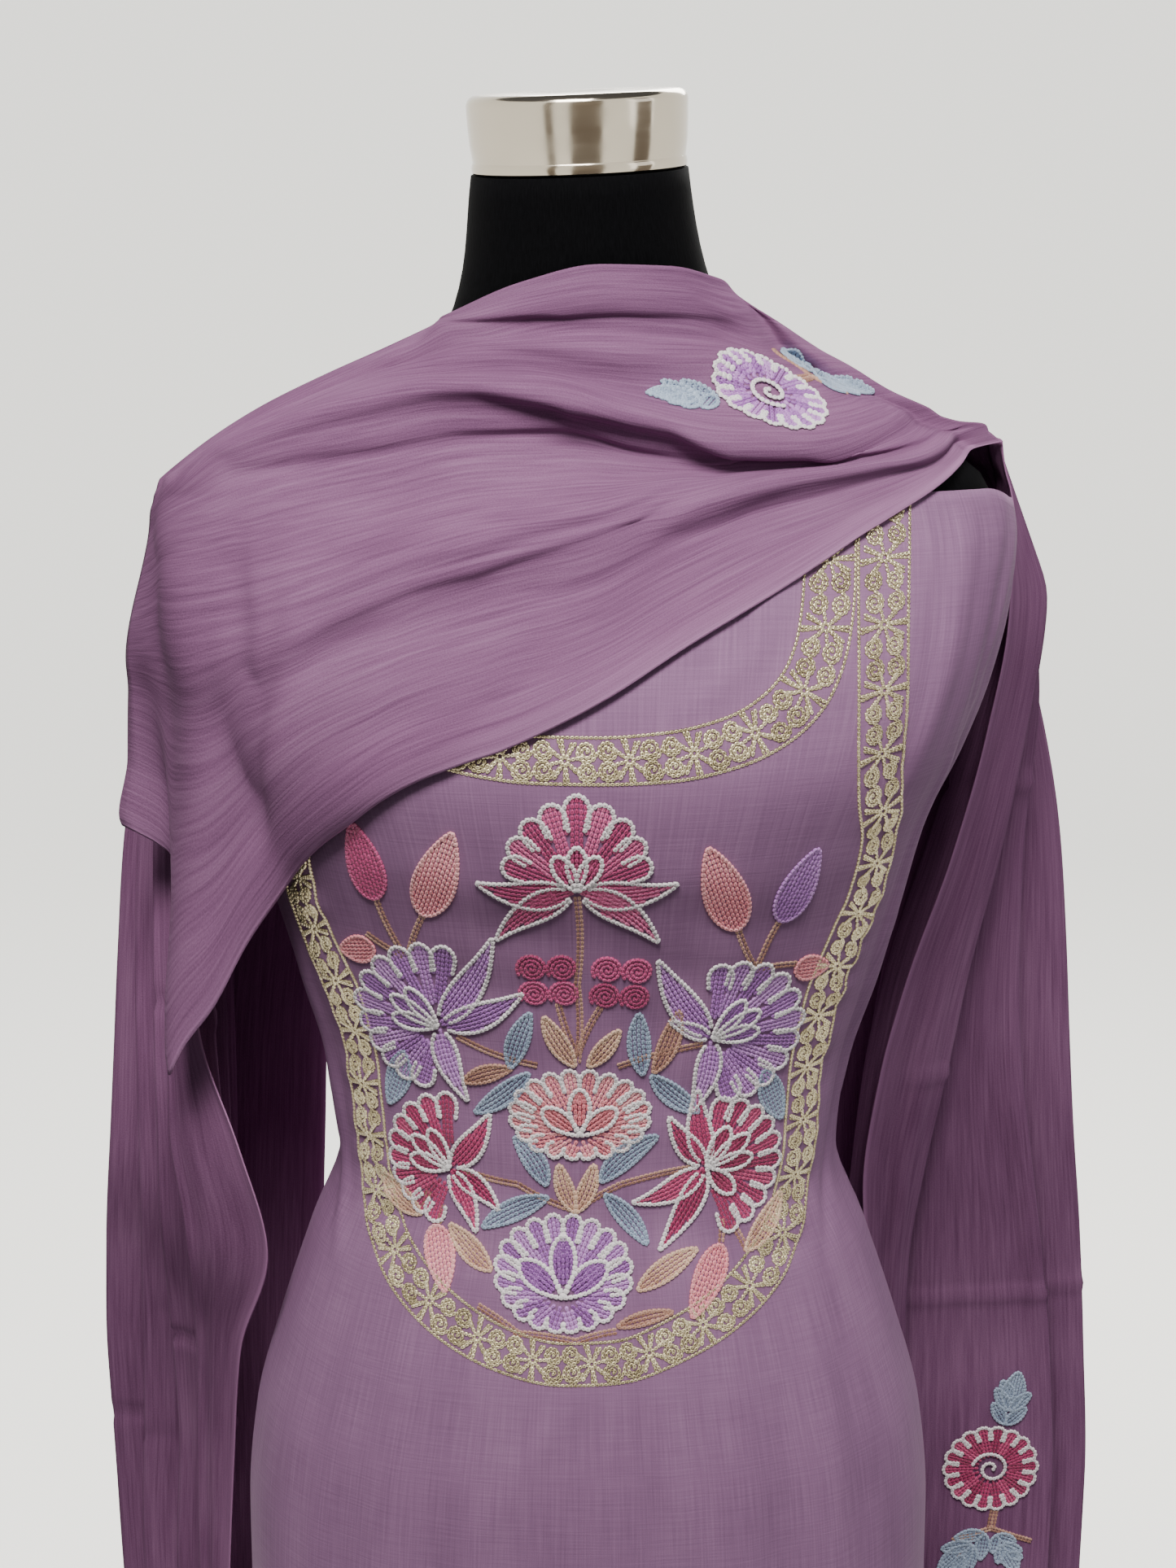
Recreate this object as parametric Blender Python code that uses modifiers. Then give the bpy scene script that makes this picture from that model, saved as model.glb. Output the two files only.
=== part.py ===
"""Salwar kameez suit shown on a limbless dress form: kameez, salwar and draped dupatta.

Metres, +Z up, the front faces -Y. The origin is the centre of the base plate's underside.
The cloth pieces are thin walls lofted through sections that follow the form and hang from it.
"""

import math

import bmesh
import bpy
import numpy as np
from mathutils import Matrix, Vector

# Walls and gaps
KAMEEZ_WALL = 0.0016
SALWAR_WALL = 0.0016
DUPATTA_WALL = 0.0012
SEAM_GAP = 0.0006
REST_GAP = 0.0008
ROUNDNESS = 2.2

# Stand
BASE_RADIUS = 0.165
BASE_THICKNESS = 0.010
POLE_RADIUS = 0.0125
FLANGE_RADIUS = 0.045
FLANGE_THICKNESS = 0.012
FORM_BOTTOM = 0.800

# Neck cap
NECK_TOP = 1.538
NECK_LEAN = math.radians(6.4)
NECK_ROLL = math.radians(2.3)
NECK_SHIFT = -0.004
LEAN_FROM = 1.450
CAP_BOTTOM_RADIUS = 0.0514
CAP_TOP_RADIUS = 0.0526
CAP_HEIGHT = 0.0355
CAP_EDGE = 0.005

# The dress form: height, half width, front depth, back depth
FORM_SECTIONS = np.array([
    (0.800, 0.1600, 0.094, 0.106),
    (0.850, 0.1700, 0.104, 0.120),
    (0.900, 0.1660, 0.107, 0.117),
    (0.950, 0.1530, 0.103, 0.104),
    (1.000, 0.1360, 0.094, 0.088),
    (1.050, 0.1215, 0.087, 0.078),
    (1.100, 0.1260, 0.090, 0.081),
    (1.150, 0.1360, 0.097, 0.087),
    (1.190, 0.1460, 0.108, 0.091),
    (1.230, 0.1570, 0.123, 0.095),
    (1.265, 0.1720, 0.129, 0.098),
    (1.300, 0.1880, 0.122, 0.099),
    (1.335, 0.1980, 0.107, 0.098),
    (1.365, 0.2010, 0.090, 0.094),
    (1.390, 0.1965, 0.074, 0.085),
    (1.402, 0.1850, 0.067, 0.079),
    (1.414, 0.1630, 0.062, 0.075),
    (1.427, 0.1310, 0.058, 0.071),
    (1.441, 0.0990, 0.055, 0.067),
    (1.456, 0.0760, 0.053, 0.063),
    (1.476, 0.0640, 0.052, 0.058),
    (1.502, 0.0567, 0.052, 0.053),
    (1.538, 0.0519, 0.0525, 0.0505),
])
FORM_COLUMNS = 40

# The kameez on the form: height, half width, front depth, back depth.
# It ends at KAMEEZ_TOP; the last two rows only close the shape for what lies over it.
KAMEEZ_SECTIONS = np.array([
    (0.420, 0.232, 0.168, 0.165),
    (0.500, 0.220, 0.160, 0.158),
    (0.600, 0.206, 0.150, 0.151),
    (0.700, 0.194, 0.137, 0.145),
    (0.800, 0.1845, 0.126, 0.138),
    (0.850, 0.1835, 0.122, 0.136),
    (0.900, 0.178, 0.121, 0.130),
    (0.950, 0.164, 0.116, 0.116),
    (1.000, 0.147, 0.106, 0.100),
    (1.050, 0.1295, 0.097, 0.088),
    (1.100, 0.1345, 0.099, 0.090),
    (1.150, 0.149, 0.107, 0.095),
    (1.190, 0.160, 0.119, 0.099),
    (1.230, 0.171, 0.134, 0.103),
    (1.265, 0.187, 0.139, 0.106),
    (1.300, 0.200, 0.131, 0.106),
    (1.335, 0.208, 0.114, 0.104),
    (1.365, 0.2105, 0.094, 0.098),
    (1.390, 0.2055, 0.070, 0.080),
    (1.402, 0.185, 0.060, 0.070),
    (1.440, 0.030, 0.020, 0.020),
])
KAMEEZ_TOP = 1.390
KAMEEZ_HEM = 0.420
CORNER_DROP = 0.007
SLIT_TOP = 0.780
SLIT_ANGLE = math.radians(7.0)
FLARE_TOP = 0.860
FLARE_WAVES = 7
FLARE_DEPTH = 0.011
FRONT_HEIGHTS = (0.420, 0.480, 0.550, 0.620, 0.700, 0.780, 0.850, 0.905, 0.955, 1.000, 1.050,
                 1.100, 1.150, 1.190, 1.230, 1.265, 1.300, 1.335, 1.365, 1.379, 1.390)
FRONT_COLUMNS = 20
BACK_HEIGHTS = (0.420, 0.500, 0.600, 0.700, 0.780, 0.850, 0.905, 0.955, 1.000, 1.050, 1.110,
                1.180, 1.250, 1.300, 1.335, 1.365, 1.386)
BACK_COLUMNS = 20

# Salwar
CROTCH_X = -0.018
BELT_TOP = 1.004
BELT_BOTTOM = 0.900
BELT_COLUMNS = 36
BELT_HEIGHTS = (0.900, 0.935, 0.970, 1.004)
BELT_REST = 0.0012
CROTCH_TOP = 0.700
CROTCH_BOTTOM = 0.590
CUFF_TOP = 0.115
CUFF_BOTTOM = 0.070
CUFF_RADIUS_X = 0.070
CUFF_RADIUS_Y = 0.050
LEG_COLUMNS = 24
LEG_ROWS = 11
LEG_PLEATS = 8
LEG_PLEAT_DEPTH = 0.008

# Dupatta over the chest. Each line runs from the right shoulder to the left:
# share of the way, across, depth where nothing is under it, height
TOP_SELVEDGE = np.array([
    (0.00, 0.0800, 0.000, 1.4630),
    (0.05, 0.0705, -0.006, 1.4735),
    (0.10, 0.0600, 0.000, 1.4840),
    (0.20, 0.0370, 0.000, 1.4930),
    (0.30, 0.0050, 0.000, 1.4940),
    (0.40, -0.0300, 0.000, 1.4860),
    (0.50, -0.0680, 0.000, 1.4690),
    (0.60, -0.0990, 0.000, 1.4550),
    (0.70, -0.1290, 0.000, 1.4420),
    (0.80, -0.1600, 0.000, 1.4270),
    (0.90, -0.1890, 0.000, 1.4090),
    (1.00, -0.2110, 0.000, 1.3920),
])
NAPE_LINE = np.array([
    (0.00, 0.1240, 0.000, 1.4415),
    (0.05, 0.1110, -0.007, 1.4420),
    (0.10, 0.0980, 0.000, 1.4420),
    (0.20, 0.0690, 0.000, 1.4500),
    (0.30, 0.0340, 0.000, 1.4540),
    (0.40, -0.0030, 0.000, 1.4560),
    (0.50, -0.0410, 0.000, 1.4540),
    (0.60, -0.0780, 0.000, 1.4450),
    (0.70, -0.1140, 0.000, 1.4330),
    (0.80, -0.1490, 0.000, 1.4190),
    (0.90, -0.1830, 0.000, 1.4030),
    (1.00, -0.2130, 0.000, 1.3840),
])
ROLL_LINE = np.array([
    (0.00, 0.1660, 0.000, 1.4235),
    (0.10, 0.1410, 0.000, 1.4165),
    (0.20, 0.1020, 0.000, 1.4100),
    (0.30, 0.0620, 0.000, 1.4110),
    (0.40, 0.0220, 0.000, 1.4190),
    (0.50, -0.0180, 0.000, 1.4310),
    (0.60, -0.0600, 0.000, 1.4290),
    (0.70, -0.1010, 0.000, 1.4200),
    (0.80, -0.1410, 0.000, 1.4100),
    (0.90, -0.1790, 0.000, 1.3960),
    (1.00, -0.2150, 0.000, 1.3740),
])
RIDGE_LINE = np.array([
    (0.00, 0.1940, 0.000, 1.4165),
    (0.05, 0.1800, 0.000, 1.4120),
    (0.10, 0.1600, 0.000, 1.4040),
    (0.20, 0.1160, 0.000, 1.3960),
    (0.30, 0.0760, 0.000, 1.3900),
    (0.40, 0.0360, 0.000, 1.3780),
    (0.50, -0.0040, 0.000, 1.3650),
    (0.60, -0.0440, 0.000, 1.3580),
    (0.70, -0.0850, 0.000, 1.3470),
    (0.80, -0.1260, -0.020, 1.3330),
    (0.90, -0.1720, -0.050, 1.3170),
    (0.95, -0.2050, -0.030, 1.3110),
    (1.00, -0.2300, 0.000, 1.3060),
])
LOWER_SELVEDGE = np.array([
    (0.00, 0.2035, 0.000, 1.4095),
    (0.05, 0.1900, 0.000, 1.4065),
    (0.10, 0.1700, 0.000, 1.3950),
    (0.20, 0.1270, 0.000, 1.3720),
    (0.30, 0.0860, 0.000, 1.3490),
    (0.40, 0.0450, 0.000, 1.3270),
    (0.50, 0.0060, 0.000, 1.3040),
    (0.60, -0.0360, 0.000, 1.2840),
    (0.70, -0.0780, 0.000, 1.2680),
    (0.78, -0.1120, -0.085, 1.2430),
    (0.84, -0.1400, -0.082, 1.2100),
    (0.88, -0.1640, -0.078, 1.1740),
    (0.905, -0.1800, -0.074, 1.1420),
    (0.93, -0.1980, -0.068, 1.1210),
    (0.95, -0.2085, -0.060, 1.0900),
    (0.97, -0.1960, -0.014, 1.1930),
    (1.00, -0.2355, 0.000, 1.2170),
])
LINE_SHARES = (0.0, 0.17, 0.33, 0.60, 1.0)
CHEST_COLUMNS = 36
CHEST_ROWS = 14
CHEST_CLEARANCE = 0.0019

# Folds of the chest drape: share across, reach above, reach below, then height
# at the right shoulder, the middle and the left shoulder
CHEST_FOLDS = np.array([
    (0.07, 0.06, 0.06, 0.001, 0.004, 0.002),
    (0.19, 0.07, 0.07, 0.001, 0.006, 0.005),
    (0.32, 0.10, 0.06, 0.002, 0.011, 0.008),
    (0.60, 0.16, 0.08, 0.002, 0.011, 0.002),
    (0.97, 0.12, 0.06, 0.001, 0.003, 0.005),
])

# The falls behind each shoulder are zigzag folds, given by where they turn:
# height, depth of the front fold, depth of the back fold, then the turns across
RIGHT_FALL = np.array([
    (0.620, 0.112, 0.172, 0.165, 0.192, 0.150, 0.291, 0.155, 0.316, 0.125),
    (0.750, 0.108, 0.168, 0.165, 0.192, 0.150, 0.290, 0.155, 0.315, 0.120),
    (0.850, 0.098, 0.160, 0.160, 0.190, 0.148, 0.282, 0.155, 0.307, 0.115),
    (0.930, 0.080, 0.150, 0.160, 0.187, 0.150, 0.270, 0.155, 0.298, 0.112),
    (1.000, 0.060, 0.140, 0.155, 0.192, 0.152, 0.257, 0.158, 0.288, 0.110),
    (1.060, 0.046, 0.134, 0.160, 0.200, 0.156, 0.247, 0.162, 0.281, 0.107),
    (1.120, 0.038, 0.130, 0.172, 0.208, 0.166, 0.242, 0.170, 0.275, 0.105),
    (1.190, 0.030, 0.124, 0.192, 0.221, 0.184, 0.240, 0.186, 0.266, 0.105),
    (1.260, 0.024, 0.118, 0.207, 0.231, 0.202, 0.243, 0.200, 0.250, 0.108),
    (1.320, 0.016, 0.110, 0.214, 0.236, 0.214, 0.236, 0.204, 0.228, 0.113),
    (1.350, 0.012, 0.104, 0.214, 0.234, 0.216, 0.228, 0.200, 0.208, 0.115),
])
LEFT_FALL = np.array([
    (0.620, 0.030, 0.150, -0.213, -0.228, -0.216, -0.246, -0.218, -0.272, -0.220, -0.290, -0.175),
    (0.750, 0.020, 0.148, -0.205, -0.224, -0.212, -0.243, -0.214, -0.270, -0.216, -0.292, -0.170),
    (0.850, 0.006, 0.142, -0.196, -0.219, -0.206, -0.236, -0.210, -0.263, -0.211, -0.292, -0.165),
    (0.930, -0.015, 0.134, -0.186, -0.213, -0.198, -0.235, -0.204, -0.258, -0.206, -0.287, -0.160),
    (1.000, -0.042, 0.120, -0.165, -0.211, -0.190, -0.233, -0.196, -0.252, -0.200, -0.278, -0.155),
    (1.060, -0.048, 0.118, -0.177, -0.216, -0.192, -0.231, -0.195, -0.250, -0.198, -0.272, -0.152),
    (1.120, -0.036, 0.118, -0.197, -0.216, -0.196, -0.231, -0.196, -0.249, -0.198, -0.267, -0.145),
    (1.190, -0.012, 0.118, -0.203, -0.215, -0.199, -0.231, -0.199, -0.246, -0.200, -0.260, -0.135),
    (1.260, 0.008, 0.114, -0.208, -0.214, -0.203, -0.224, -0.203, -0.232, -0.202, -0.240, -0.125),
    (1.320, 0.014, 0.110, -0.213, -0.216, -0.210, -0.217, -0.207, -0.217, -0.200, -0.205, -0.118),
])
RIGHT_FALL_HEIGHTS = (0.620, 0.700, 0.780, 0.860, 0.930, 1.000, 1.070, 1.140, 1.210, 1.275, 1.335)
LEFT_FALL_HEIGHTS = (0.620, 0.700, 0.780, 0.850, 0.920, 0.980, 1.040, 1.100, 1.160, 1.240, 1.310)
RIGHT_FALL_COLUMNS = 30
LEFT_FALL_COLUMNS = 32
SHOULDER_STEPS = (0.2, 0.4, 0.6, 0.8)
LEFT_CREST_FROM = 0.985
LEFT_CREST_TO = 0.52
FALL_CLEARANCE = 0.0024


def through(keys, values, at):
    """Smooth curve through a table's rows, with no overshoot between them."""
    span = np.diff(keys)
    slope = np.diff(values) / span
    tangent = np.zeros_like(values)
    for i in range(1, len(values) - 1):
        if slope[i - 1] * slope[i] > 0:
            tangent[i] = 2 * slope[i - 1] * slope[i] / (slope[i - 1] + slope[i])
    tangent[0], tangent[-1] = slope[0], slope[-1]
    at = np.clip(at, keys[0], keys[-1])
    i = np.clip(np.searchsorted(keys, at) - 1, 0, len(span) - 1)
    f = (at - keys[i]) / span[i]
    start = (1 + 2 * f) * (1 - f) ** 2 * values[i] + f * (1 - f) ** 2 * span[i] * tangent[i]
    end = f * f * (3 - 2 * f) * values[i + 1] + f * f * (f - 1) * span[i] * tangent[i + 1]
    return start + end


def read_table(table, at):
    """All columns after the first, at one or many keys."""
    return [through(table[:, 0], table[:, c], at) for c in range(1, table.shape[1])]


def smooth_step(share):
    share = np.clip(share, 0.0, 1.0)
    return share * share * (3 - 2 * share)


def outline(half, front, back, angle):
    """A point of a rounded section; angle 0 is the centre front and half pi the side at +X."""
    across, along = np.sin(angle), np.cos(angle)
    depth = np.where(along > 0, front, back)
    x = half * np.sign(across) * np.abs(across) ** (2 / ROUNDNESS)
    y = -depth * np.sign(along) * np.abs(along) ** (2 / ROUNDNESS)
    return x, y


def kameez_section(height):
    """The kameez wall's middle: its own cut, or the form itself where the cloth rests on it."""
    own = read_table(KAMEEZ_SECTIONS, height)
    form = read_table(FORM_SECTIONS, height)
    rest = KAMEEZ_WALL / 2 + REST_GAP
    return [np.maximum(a, b + rest) for a, b in zip(own, form)]


def flare(height):
    """How deep the skirt's waves are at a height."""
    return FLARE_DEPTH * smooth_step((FLARE_TOP - height) / (FLARE_TOP - KAMEEZ_HEM))


def cover_section(height):
    """The outside of what the dupatta lies on: kameez up to its top edge, form above."""
    form = [v + KAMEEZ_WALL + REST_GAP for v in read_table(FORM_SECTIONS, height)]
    kameez = [v + KAMEEZ_WALL / 2 + flare(height) for v in kameez_section(height)]
    return [np.maximum(a, b) for a, b in zip(form, kameez)]


def cover_level(points):
    """Below 0 inside what the dupatta lies on, 0 on it, above 0 outside."""
    half, front, back = cover_section(points[:, 2])
    depth = np.where(points[:, 1] < 0, front, back)
    x = np.abs(points[:, 0]) / half
    y = np.abs(points[:, 1]) / depth
    return (x ** ROUNDNESS + y ** ROUNDNESS) ** (1 / ROUNDNESS) - 1


def cover_slope(points):
    """The direction away from the body at each point, and how fast the level grows there."""
    step = 0.0008
    slope = np.stack([
        (cover_level(points + step * axis) - cover_level(points - step * axis)) / (2 * step)
        for axis in np.eye(3)
    ], axis=1)
    size = np.maximum(np.linalg.norm(slope, axis=1), 1e-6)
    return slope / size[:, None], size


def lay_on_front(points):
    """Moves points along Y onto the front of the body; those beside it stay where they are."""
    near, far = np.full(len(points), -0.30), points[:, 1].copy()
    probe = points.copy()
    blocked = cover_level(points) < 0
    for _ in range(40):
        middle = (near + far) / 2
        probe[:, 1] = middle
        inside = cover_level(probe) < 0
        far = np.where(inside, middle, far)
        near = np.where(inside, near, middle)
    laid = points.copy()
    laid[:, 1] = np.where(blocked, far, points[:, 1])
    return laid


def keep_clear(points, clearance):
    """Pushes out every point that is nearer the body than its clearance."""
    points = points.copy()
    for _ in range(6):
        direction, size = cover_slope(points)
        short = clearance - cover_level(points) / size
        points += direction * np.maximum(short, 0.0)[:, None]
    return points


def rest_on_body(rows, clearance):
    """Lifts a sheet of points until its corners and the middles of its faces are all clear."""
    rows = np.array(rows)
    shape = rows.shape
    for _ in range(4):
        rows = keep_clear(rows.reshape(-1, 3), clearance).reshape(shape)
        middles = (rows[:-1, :-1] + rows[1:, :-1] + rows[:-1, 1:] + rows[1:, 1:]) / 4
        direction, size = cover_slope(middles.reshape(-1, 3))
        short = np.maximum(clearance - cover_level(middles.reshape(-1, 3)) / size, 0.0)
        lift = (direction * short[:, None]).reshape(middles.shape)
        for down in (0, 1):
            for side in (0, 1):
                corner = rows[down:shape[0] - 1 + down, side:shape[1] - 1 + side]
                corner += lift / 2
    return rows


def new_material(name, colour, roughness, metallic=0.0):
    material = bpy.data.materials.new(name)
    material.use_nodes = True
    shader = material.node_tree.nodes["Principled BSDF"]
    shader.inputs["Base Color"].default_value = (*colour, 1.0)
    shader.inputs["Roughness"].default_value = roughness
    shader.inputs["Metallic"].default_value = metallic
    material.diffuse_color = (*colour, 1.0)
    return material


def new_object(name, mesh, material, collection):
    piece = bpy.data.objects.new(name, mesh)
    mesh.materials.append(material)
    collection.objects.link(piece)
    return piece


def sheet(name, rows, wall, material, collection, closed=False):
    """A cloth wall lofted through rows of points, thickened to both sides."""
    work = bmesh.new()
    grid = [[work.verts.new(Vector(p)) for p in row] for row in rows]
    for lower, upper in zip(grid, grid[1:]):
        columns = len(lower)
        for i in range(columns if closed else columns - 1):
            j = (i + 1) % columns
            work.faces.new((lower[i], lower[j], upper[j], upper[i]))
    for face in work.faces:
        face.smooth = True
    mesh = bpy.data.meshes.new(name)
    work.to_mesh(mesh)
    work.free()
    piece = new_object(name, mesh, material, collection)
    thicken = piece.modifiers.new("Wall", "SOLIDIFY")
    thicken.thickness = wall
    thicken.offset = 0.0
    return piece


def closed_loft(name, rings, material, collection):
    """A solid lofted through rings, with both ends closed."""
    work = bmesh.new()
    grid = [[work.verts.new(Vector(p)) for p in ring] for ring in rings]
    for lower, upper in zip(grid, grid[1:]):
        for i in range(len(lower)):
            j = (i + 1) % len(lower)
            work.faces.new((lower[i], lower[j], upper[j], upper[i])).smooth = True
    work.faces.new(list(reversed(grid[0])))
    work.faces.new(grid[-1])
    mesh = bpy.data.meshes.new(name)
    work.to_mesh(mesh)
    work.free()
    return new_object(name, mesh, material, collection)


def turned(name, profile, steps, material, collection):
    """A solid of revolution about Z. The profile runs from the axis at the top, down the outside."""
    mesh = bpy.data.meshes.new(name)
    points = [(radius, 0.0, height) for radius, height in profile]
    mesh.from_pydata(points, [(i, i + 1) for i in range(len(points) - 1)], [])
    piece = new_object(name, mesh, material, collection)
    spin = piece.modifiers.new("Turn", "SCREW")
    spin.steps = steps
    spin.render_steps = steps
    spin.use_merge_vertices = True
    spin.merge_threshold = 0.00005
    spin.use_smooth_shade = False
    return piece


def build_form(material, collection):
    """The limbless torso with its neck, which leans forward a little at the top."""
    rings = []
    angles = np.linspace(0, 2 * math.pi, FORM_COLUMNS, endpoint=False)
    for height in FORM_SECTIONS[:, 0]:
        half, front, back = read_table(FORM_SECTIONS, height)
        x, y = outline(half, front, back, angles)
        lean = smooth_step((height - LEAN_FROM) / (NECK_TOP - LEAN_FROM))
        z = height + (y * math.tan(NECK_LEAN) / math.cos(NECK_ROLL) + x * math.tan(NECK_ROLL)) * lean
        rings.append(list(zip(x + NECK_SHIFT * lean, y, z)))
    closed_loft("form_torso", rings, material, collection)


def build_neck_cap(material, collection):
    top = CAP_HEIGHT
    profile = [(0.0, top), (CAP_TOP_RADIUS - CAP_EDGE, top)]
    for i in range(1, 4):
        turn = math.radians(90 - 30 * i)
        profile.append((CAP_TOP_RADIUS - CAP_EDGE + CAP_EDGE * math.cos(turn),
                        top - CAP_EDGE + CAP_EDGE * math.sin(turn)))
    profile += [(CAP_BOTTOM_RADIUS, 0.0), (0.0, 0.0)]
    cap = turned("neck_cap", profile, 48, material, collection)
    cap.location = (NECK_SHIFT, 0.0, NECK_TOP + SEAM_GAP)
    cap.rotation_euler = (NECK_LEAN, -NECK_ROLL, 0.0)


def build_stand(chrome, collection):
    edge = 0.003
    base = [(0.0, BASE_THICKNESS), (BASE_RADIUS - edge, BASE_THICKNESS),
            (BASE_RADIUS, BASE_THICKNESS - edge), (BASE_RADIUS, 0.0), (0.0, 0.0)]
    turned("base_plate", base, 64, chrome, collection)
    low = BASE_THICKNESS + SEAM_GAP
    high = FORM_BOTTOM - FLANGE_THICKNESS - 2 * SEAM_GAP
    bpy.ops.mesh.primitive_cylinder_add(vertices=24, radius=POLE_RADIUS, depth=high - low,
                                        location=(0.0, 0.0, (low + high) / 2))
    adopt("stand_pole", chrome, collection)
    bpy.ops.mesh.primitive_cylinder_add(vertices=32, radius=FLANGE_RADIUS, depth=FLANGE_THICKNESS,
                                        location=(0.0, 0.0, FORM_BOTTOM - SEAM_GAP - FLANGE_THICKNESS / 2))
    adopt("stand_flange", chrome, collection)


def adopt(name, material, collection):
    """Names the primitive that was just added and moves it to the model's collection."""
    piece = bpy.context.object
    piece.name = name
    piece.data.name = name
    piece.data.materials.append(material)
    for other in list(piece.users_collection):
        other.objects.unlink(piece)
    collection.objects.link(piece)
    return piece


def kameez_rows(heights, columns, side):
    """Rows of one panel from side seam to side seam; side is 1 for the front, -1 for the back."""
    rows = []
    for height in heights:
        slit = smooth_step((SLIT_TOP - height) / (SLIT_TOP - KAMEEZ_HEM))
        reach = math.pi / 2 - SLIT_ANGLE * slit
        turn = np.linspace(-reach, reach, columns + 1)
        angle = turn if side > 0 else math.pi - turn
        corner = smooth_step((np.abs(turn) - 1.15) / 0.35) * smooth_step((height - 1.34) / 0.05)
        z = height - CORNER_DROP * corner
        half, front, back = kameez_section(z)
        x, y = outline(half, front, back, angle)
        swell = 1 + flare(height) / half * np.cos(FLARE_WAVES * turn)
        y = y * swell - side * SEAM_GAP / 2
        rows.append(list(zip(x * swell, y, z)))
    return rows


def build_kameez(material, collection):
    front = kameez_rows(FRONT_HEIGHTS, FRONT_COLUMNS, 1)
    sheet("kameez_front", front, KAMEEZ_WALL, material, collection)
    back = kameez_rows(BACK_HEIGHTS, BACK_COLUMNS, -1)
    sheet("kameez_back", back, KAMEEZ_WALL, material, collection)


def salwar_seat(height):
    """The salwar's outline round the hips, and straight down below them."""
    form = [v + SALWAR_WALL / 2 + BELT_REST for v in read_table(FORM_SECTIONS, max(height, 0.850))]
    ease = 0.003 * smooth_step((BELT_BOTTOM - height) / 0.08)
    return [v + ease for v in form]


def build_belt(material, collection):
    rows = []
    angles = np.linspace(0, 2 * math.pi, BELT_COLUMNS, endpoint=False)
    for height in BELT_HEIGHTS:
        x, y = outline(*salwar_seat(height), angles)
        rows.append(list(zip(x, y, np.full(len(x), height))))
    sheet("salwar_belt", rows, SALWAR_WALL, material, collection, closed=True)


def leg_row(height, side):
    """One level of a leg. Round the hips it runs from centre front to centre back;
    below the crotch it closes on itself along the inseam and narrows to the cuff."""
    turn = np.linspace(0, 1, LEG_COLUMNS + 1)
    closing = smooth_step((CROTCH_TOP - height) / (CROTCH_TOP - CROTCH_BOTTOM))
    falling = smooth_step((CROTCH_TOP - height) / (CROTCH_TOP - CUFF_TOP))
    half, front, back = salwar_seat(height)
    centre_line = side * math.asin((abs(CROTCH_X) / half) ** (ROUNDNESS / 2))
    seat_x, seat_y = outline(half, front, back, -centre_line + turn * (math.pi + 2 * centre_line))
    seam = (SALWAR_WALL + SEAM_GAP) / 2
    seat_x = np.maximum(seat_x, side * CROTCH_X + seam)
    width = (half - side * CROTCH_X - 2 * seam) / 2 * (1 - falling) + CUFF_RADIUS_X * falling
    front = 0.92 * front * (1 - falling) + CUFF_RADIUS_Y * falling
    back = 0.92 * back * (1 - falling) + CUFF_RADIUS_Y * falling
    middle = side * CROTCH_X + 2 * seam + width
    tube_x, tube_y = outline(width, front, back, -math.pi / 2 + turn * 2 * math.pi)
    tube_x = middle + tube_x
    tube_y[0], tube_y[-1] = -seam, seam
    x = seat_x * (1 - closing) + tube_x * closing
    y = seat_y * (1 - closing) + tube_y * closing
    gather = smooth_step((BELT_BOTTOM - height) / 0.10) * smooth_step((height - CUFF_TOP) / 0.09)
    swell = LEG_PLEAT_DEPTH * (0.45 + 0.55 * closing) * gather * np.sin(math.pi * turn) ** 0.5
    swell = swell * (1 - np.cos(2 * math.pi * LEG_PLEATS * turn)) / 2 / width
    x = x + (x - middle * closing) * swell
    y = y * (1 + swell)
    return list(zip(side * x, y, np.full(len(x), height)))


def build_legs(material, collection):
    heights = np.linspace(CUFF_TOP, BELT_BOTTOM - SEAM_GAP, LEG_ROWS + 1)
    ring = np.linspace(0, 2 * math.pi, 28, endpoint=False)
    for name, side in (("right", 1), ("left", -1)):
        rows = [leg_row(height, side) for height in heights]
        sheet(f"salwar_leg_{name}", rows, SALWAR_WALL, material, collection)
        middle = side * CROTCH_X + SALWAR_WALL + SEAM_GAP + CUFF_RADIUS_X
        x, y = outline(CUFF_RADIUS_X, CUFF_RADIUS_Y, CUFF_RADIUS_Y, ring)
        cuff = [list(zip(side * (middle + x), side * y, np.full(len(x), height)))
                for height in (CUFF_BOTTOM, CUFF_TOP - SEAM_GAP)]
        sheet(f"salwar_cuff_{name}", cuff, SALWAR_WALL, material, collection, closed=True)


def chest_relief(share, across):
    """How far the folds stand out at a share of the way round and across the cloth."""
    relief = np.zeros_like(across)
    for centre, above, below, right, middle, left in CHEST_FOLDS:
        height = through(np.array([0.0, 0.5, 1.0]), np.array([right, middle, left]), share)
        offset = across - centre
        reach = np.where(offset < 0, above, below)
        relief += height * np.maximum(0.0, np.cos(np.clip(offset / reach, -1, 1) * math.pi / 2)) ** 1.5
    return relief


def chest_points(share, across):
    """The chest drape at one share of the way from right to left, for many shares across."""
    lines = (TOP_SELVEDGE, NAPE_LINE, ROLL_LINE, RIDGE_LINE, LOWER_SELVEDGE)
    laid = lay_on_front(np.array([read_table(line, share) for line in lines]))
    keys = np.array(LINE_SHARES)
    points = np.stack([through(keys, laid[:, c], across) for c in range(3)], axis=1)
    points = keep_clear(points, CHEST_CLEARANCE)
    direction, _ = cover_slope(points)
    return points + direction * chest_relief(share, across)[:, None]


def build_chest_drape(material, collection):
    across = np.linspace(0, 1, CHEST_ROWS + 1)
    columns = [chest_points(share, across) for share in np.linspace(0, 1, CHEST_COLUMNS + 1)]
    columns = rest_on_body(columns, CHEST_CLEARANCE)
    sheet("dupatta_chest", columns, DUPATTA_WALL, material, collection)


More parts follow.
